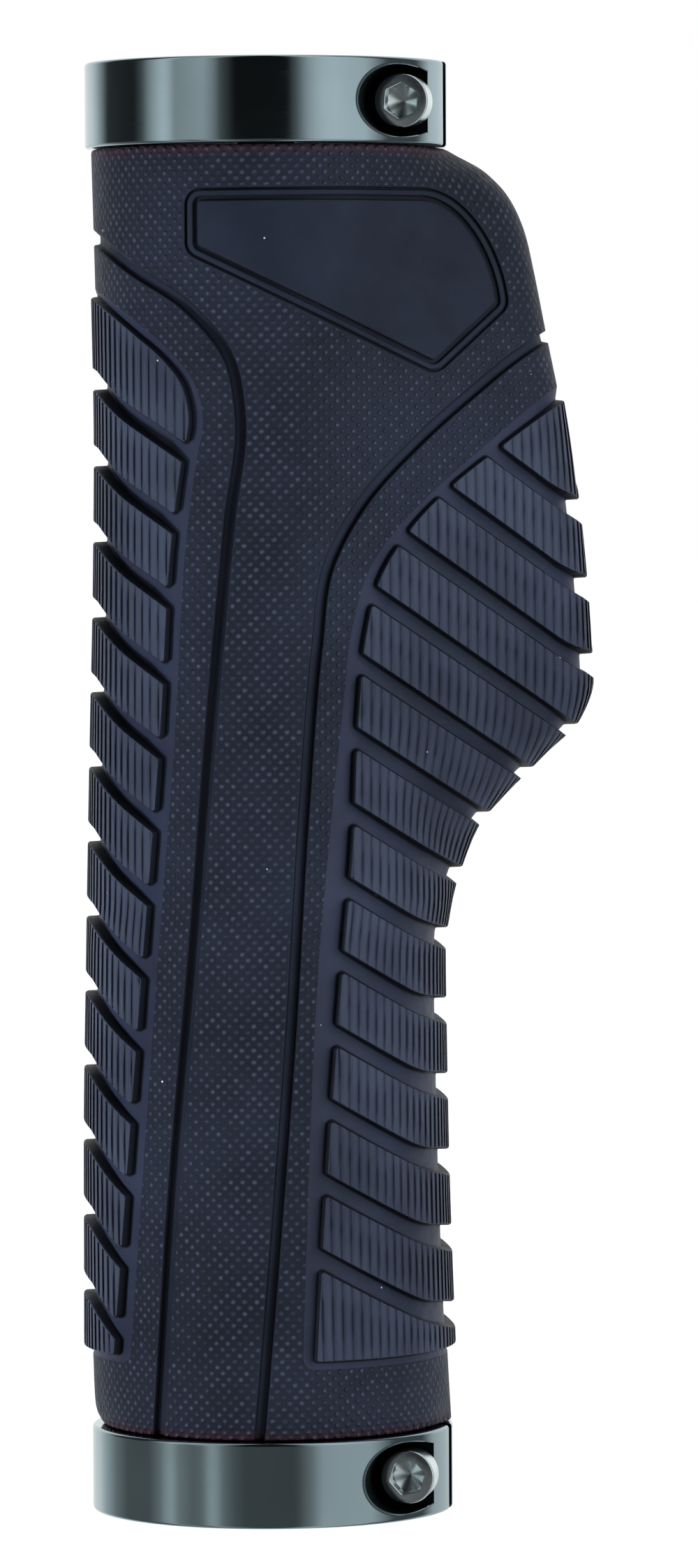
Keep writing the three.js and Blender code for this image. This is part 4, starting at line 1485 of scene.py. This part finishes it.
def make_world():
    """Even light all around, seen white by the camera, with bands that only the metal mirrors."""
    world = bpy.data.worlds.new("studio")
    bpy.context.scene.world = world
    world.use_nodes = True
    n = Nodes(world.node_tree)
    direction = n.add("ShaderNodeTexCoord").outputs["Generated"]
    split = n.add("ShaderNodeSeparateXYZ", {0: direction})
    x, y, z = split.outputs
    azimuth = n.math("ARCTAN2", x, n.math("MULTIPLY", y, -1.0))
    upper, lower = bands(n, azimuth, UPPER_BANDS), bands(n, azimuth, LOWER_BANDS)
    studio = n.mix(n.ramp(z, -0.09, 0.0), lower, upper)
    path = n.add("ShaderNodeLightPath")
    soft = n.mix(n.ramp(z, -0.6, 0.9), (0.4, 0.41, 0.44, 1), (0.6, 0.61, 0.65, 1))
    seen = n.mix(path.outputs["Is Glossy Ray"], soft, studio)
    seen = n.mix(path.outputs["Is Camera Ray"], seen, (1, 1, 1, 1))
    background = n.add("ShaderNodeBackground", {"Color": seen, "Strength": 1.0})
    n.add("ShaderNodeOutputWorld", {0: background.outputs[0]})


def make_lamp(name, place, target, size, power):
    """A rectangular lamp that the metal doesn't mirror."""
    data = bpy.data.lights.new(name, "AREA")
    data.shape = "RECTANGLE"
    data.size, data.size_y = size
    data.energy = power
    lamp = bpy.data.objects.new(name, data)
    lamp.location = place
    lamp.rotation_mode = "QUATERNION"
    lamp.rotation_quaternion = (Vector(target) - Vector(place)).to_track_quat("-Z", "Y")
    lamp.visible_glossy = False
    bpy.context.scene.collection.objects.link(lamp)


def make_floor():
    """A white floor that keeps the shadow and is left out of reflections."""
    material = bpy.data.materials.new("floor")
    material.use_nodes = True
    n = Nodes(material.node_tree)
    diffuse = n.add("ShaderNodeBsdfDiffuse", {"Color": (0.8, 0.8, 0.8, 1)})
    glow = n.add("ShaderNodeEmission", {"Color": (1, 1, 1, 1), "Strength": 1.08})
    path = n.add("ShaderNodeLightPath")
    share = n.math("MULTIPLY", path.outputs["Is Camera Ray"], 0.9)
    both = n.add("ShaderNodeMixShader", {0: share, 1: diffuse.outputs[0], 2: glow.outputs[0]})
    n.add("ShaderNodeOutputMaterial", {0: both.outputs[0]})
    mesh = bpy.data.meshes.new("floor")
    corners = [(FLOOR_REACH * x, FLOOR_REACH * y, 0) for x, y in ((-1, -1), (1, -1), (1, 1), (-1, 1))]
    mesh.from_pydata(corners, [], [(0, 1, 2, 3)])
    mesh.materials.append(material)
    floor = bpy.data.objects.new("floor", mesh)
    floor.visible_glossy = False
    bpy.context.scene.collection.objects.link(floor)


# Scene

make_camera()
make_world()
make_floor()
for lamp in LAMPS:
    make_lamp(*lamp)

dotted = rubber("rubber_dotted", rgb(12, 14, 20), rgb(18, 21, 30), 0.26, dots=True)
ribbed = rubber("rubber_ribbed", rgb(23, 26, 36), rgb(34, 39, 51), 0.34, ridges=True)
smooth = rubber("rubber_smooth", rgb(12, 15, 22), rgb(19, 23, 33), 0.22)
# Darker rubber for walls, feet and groove sides: painted shade in the relief's recesses
crevice = rubber("rubber_crevice_shade", rgb(9, 10, 14), rgb(14, 16, 21), 0.2)
# Smooth rubber with a little coat whose lighter, bluer colour is painted sheen, for the floor round the ribs
floors = rubber("rubber_floor_sheen", rgb(17, 20, 30), rgb(25, 29, 42), 0.32, coat=0.08)
# Very dark, duller metal for the counterbore's faces: painted shade in the pocket
pocket_shade = metal("ring_pocket_shade", (0.015, 0.02, 0.022, 1.0), 0.35, 0.5, 0.002)
aluminium = metal("ring_polished", (0.35, 0.47, 0.51, 1.0), 0.06, 0.15, 0.0015)
steel = metal("screw_steel", (0.8, 0.92, 0.94, 1.0), 0.2, 0.28, 0.001)
core = plastic("core_plastic", (0.02, 0.02, 0.023, 1.0))

points, faces, tags, arcs = whole_sleeve()
materials = [dotted, ribbed, smooth, crevice, floors]
sleeve = put("grip_sleeve", points, faces, materials, tags, arcs, sharp=55.0)
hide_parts("rubber_sleeve")

ring_points, ring_faces = clamp_ring()
for place, base_z, hex_turn in (("lower", 0.0, 12), ("upper", LENGTH - RING_HEIGHT, 25)):
    shape = np.array(ring_points)
    shape[:, 2] = base_z + (shape[:, 2] if place == "lower" else RING_HEIGHT - shape[:, 2])
    # The counterbore's faces get the very dark metal: painted shade
    ring = put(
        f"{place}_ring_polished", shape, ring_faces, [aluminium, pocket_shade],
        tags=pocket_faces(shape, ring_faces, base_z), weighted=False,
    )
    polish(ring, base_z)
    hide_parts(f"{place}_clamp_ring")
    shape, screw_faces = clamp_screw(math.radians(hex_turn))
    shape[:, 2] += base_z
    screw = put(f"{place}_screw_detailed", shape, screw_faces, [steel], sharp=35.0)
    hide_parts(f"{place}_clamp_screw")

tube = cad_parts["core_tube"]
tube.data.materials.clear()
tube.data.materials.append(core)

bpy.context.scene.view_settings.view_transform = "Standard"
bpy.context.view_layer.update()
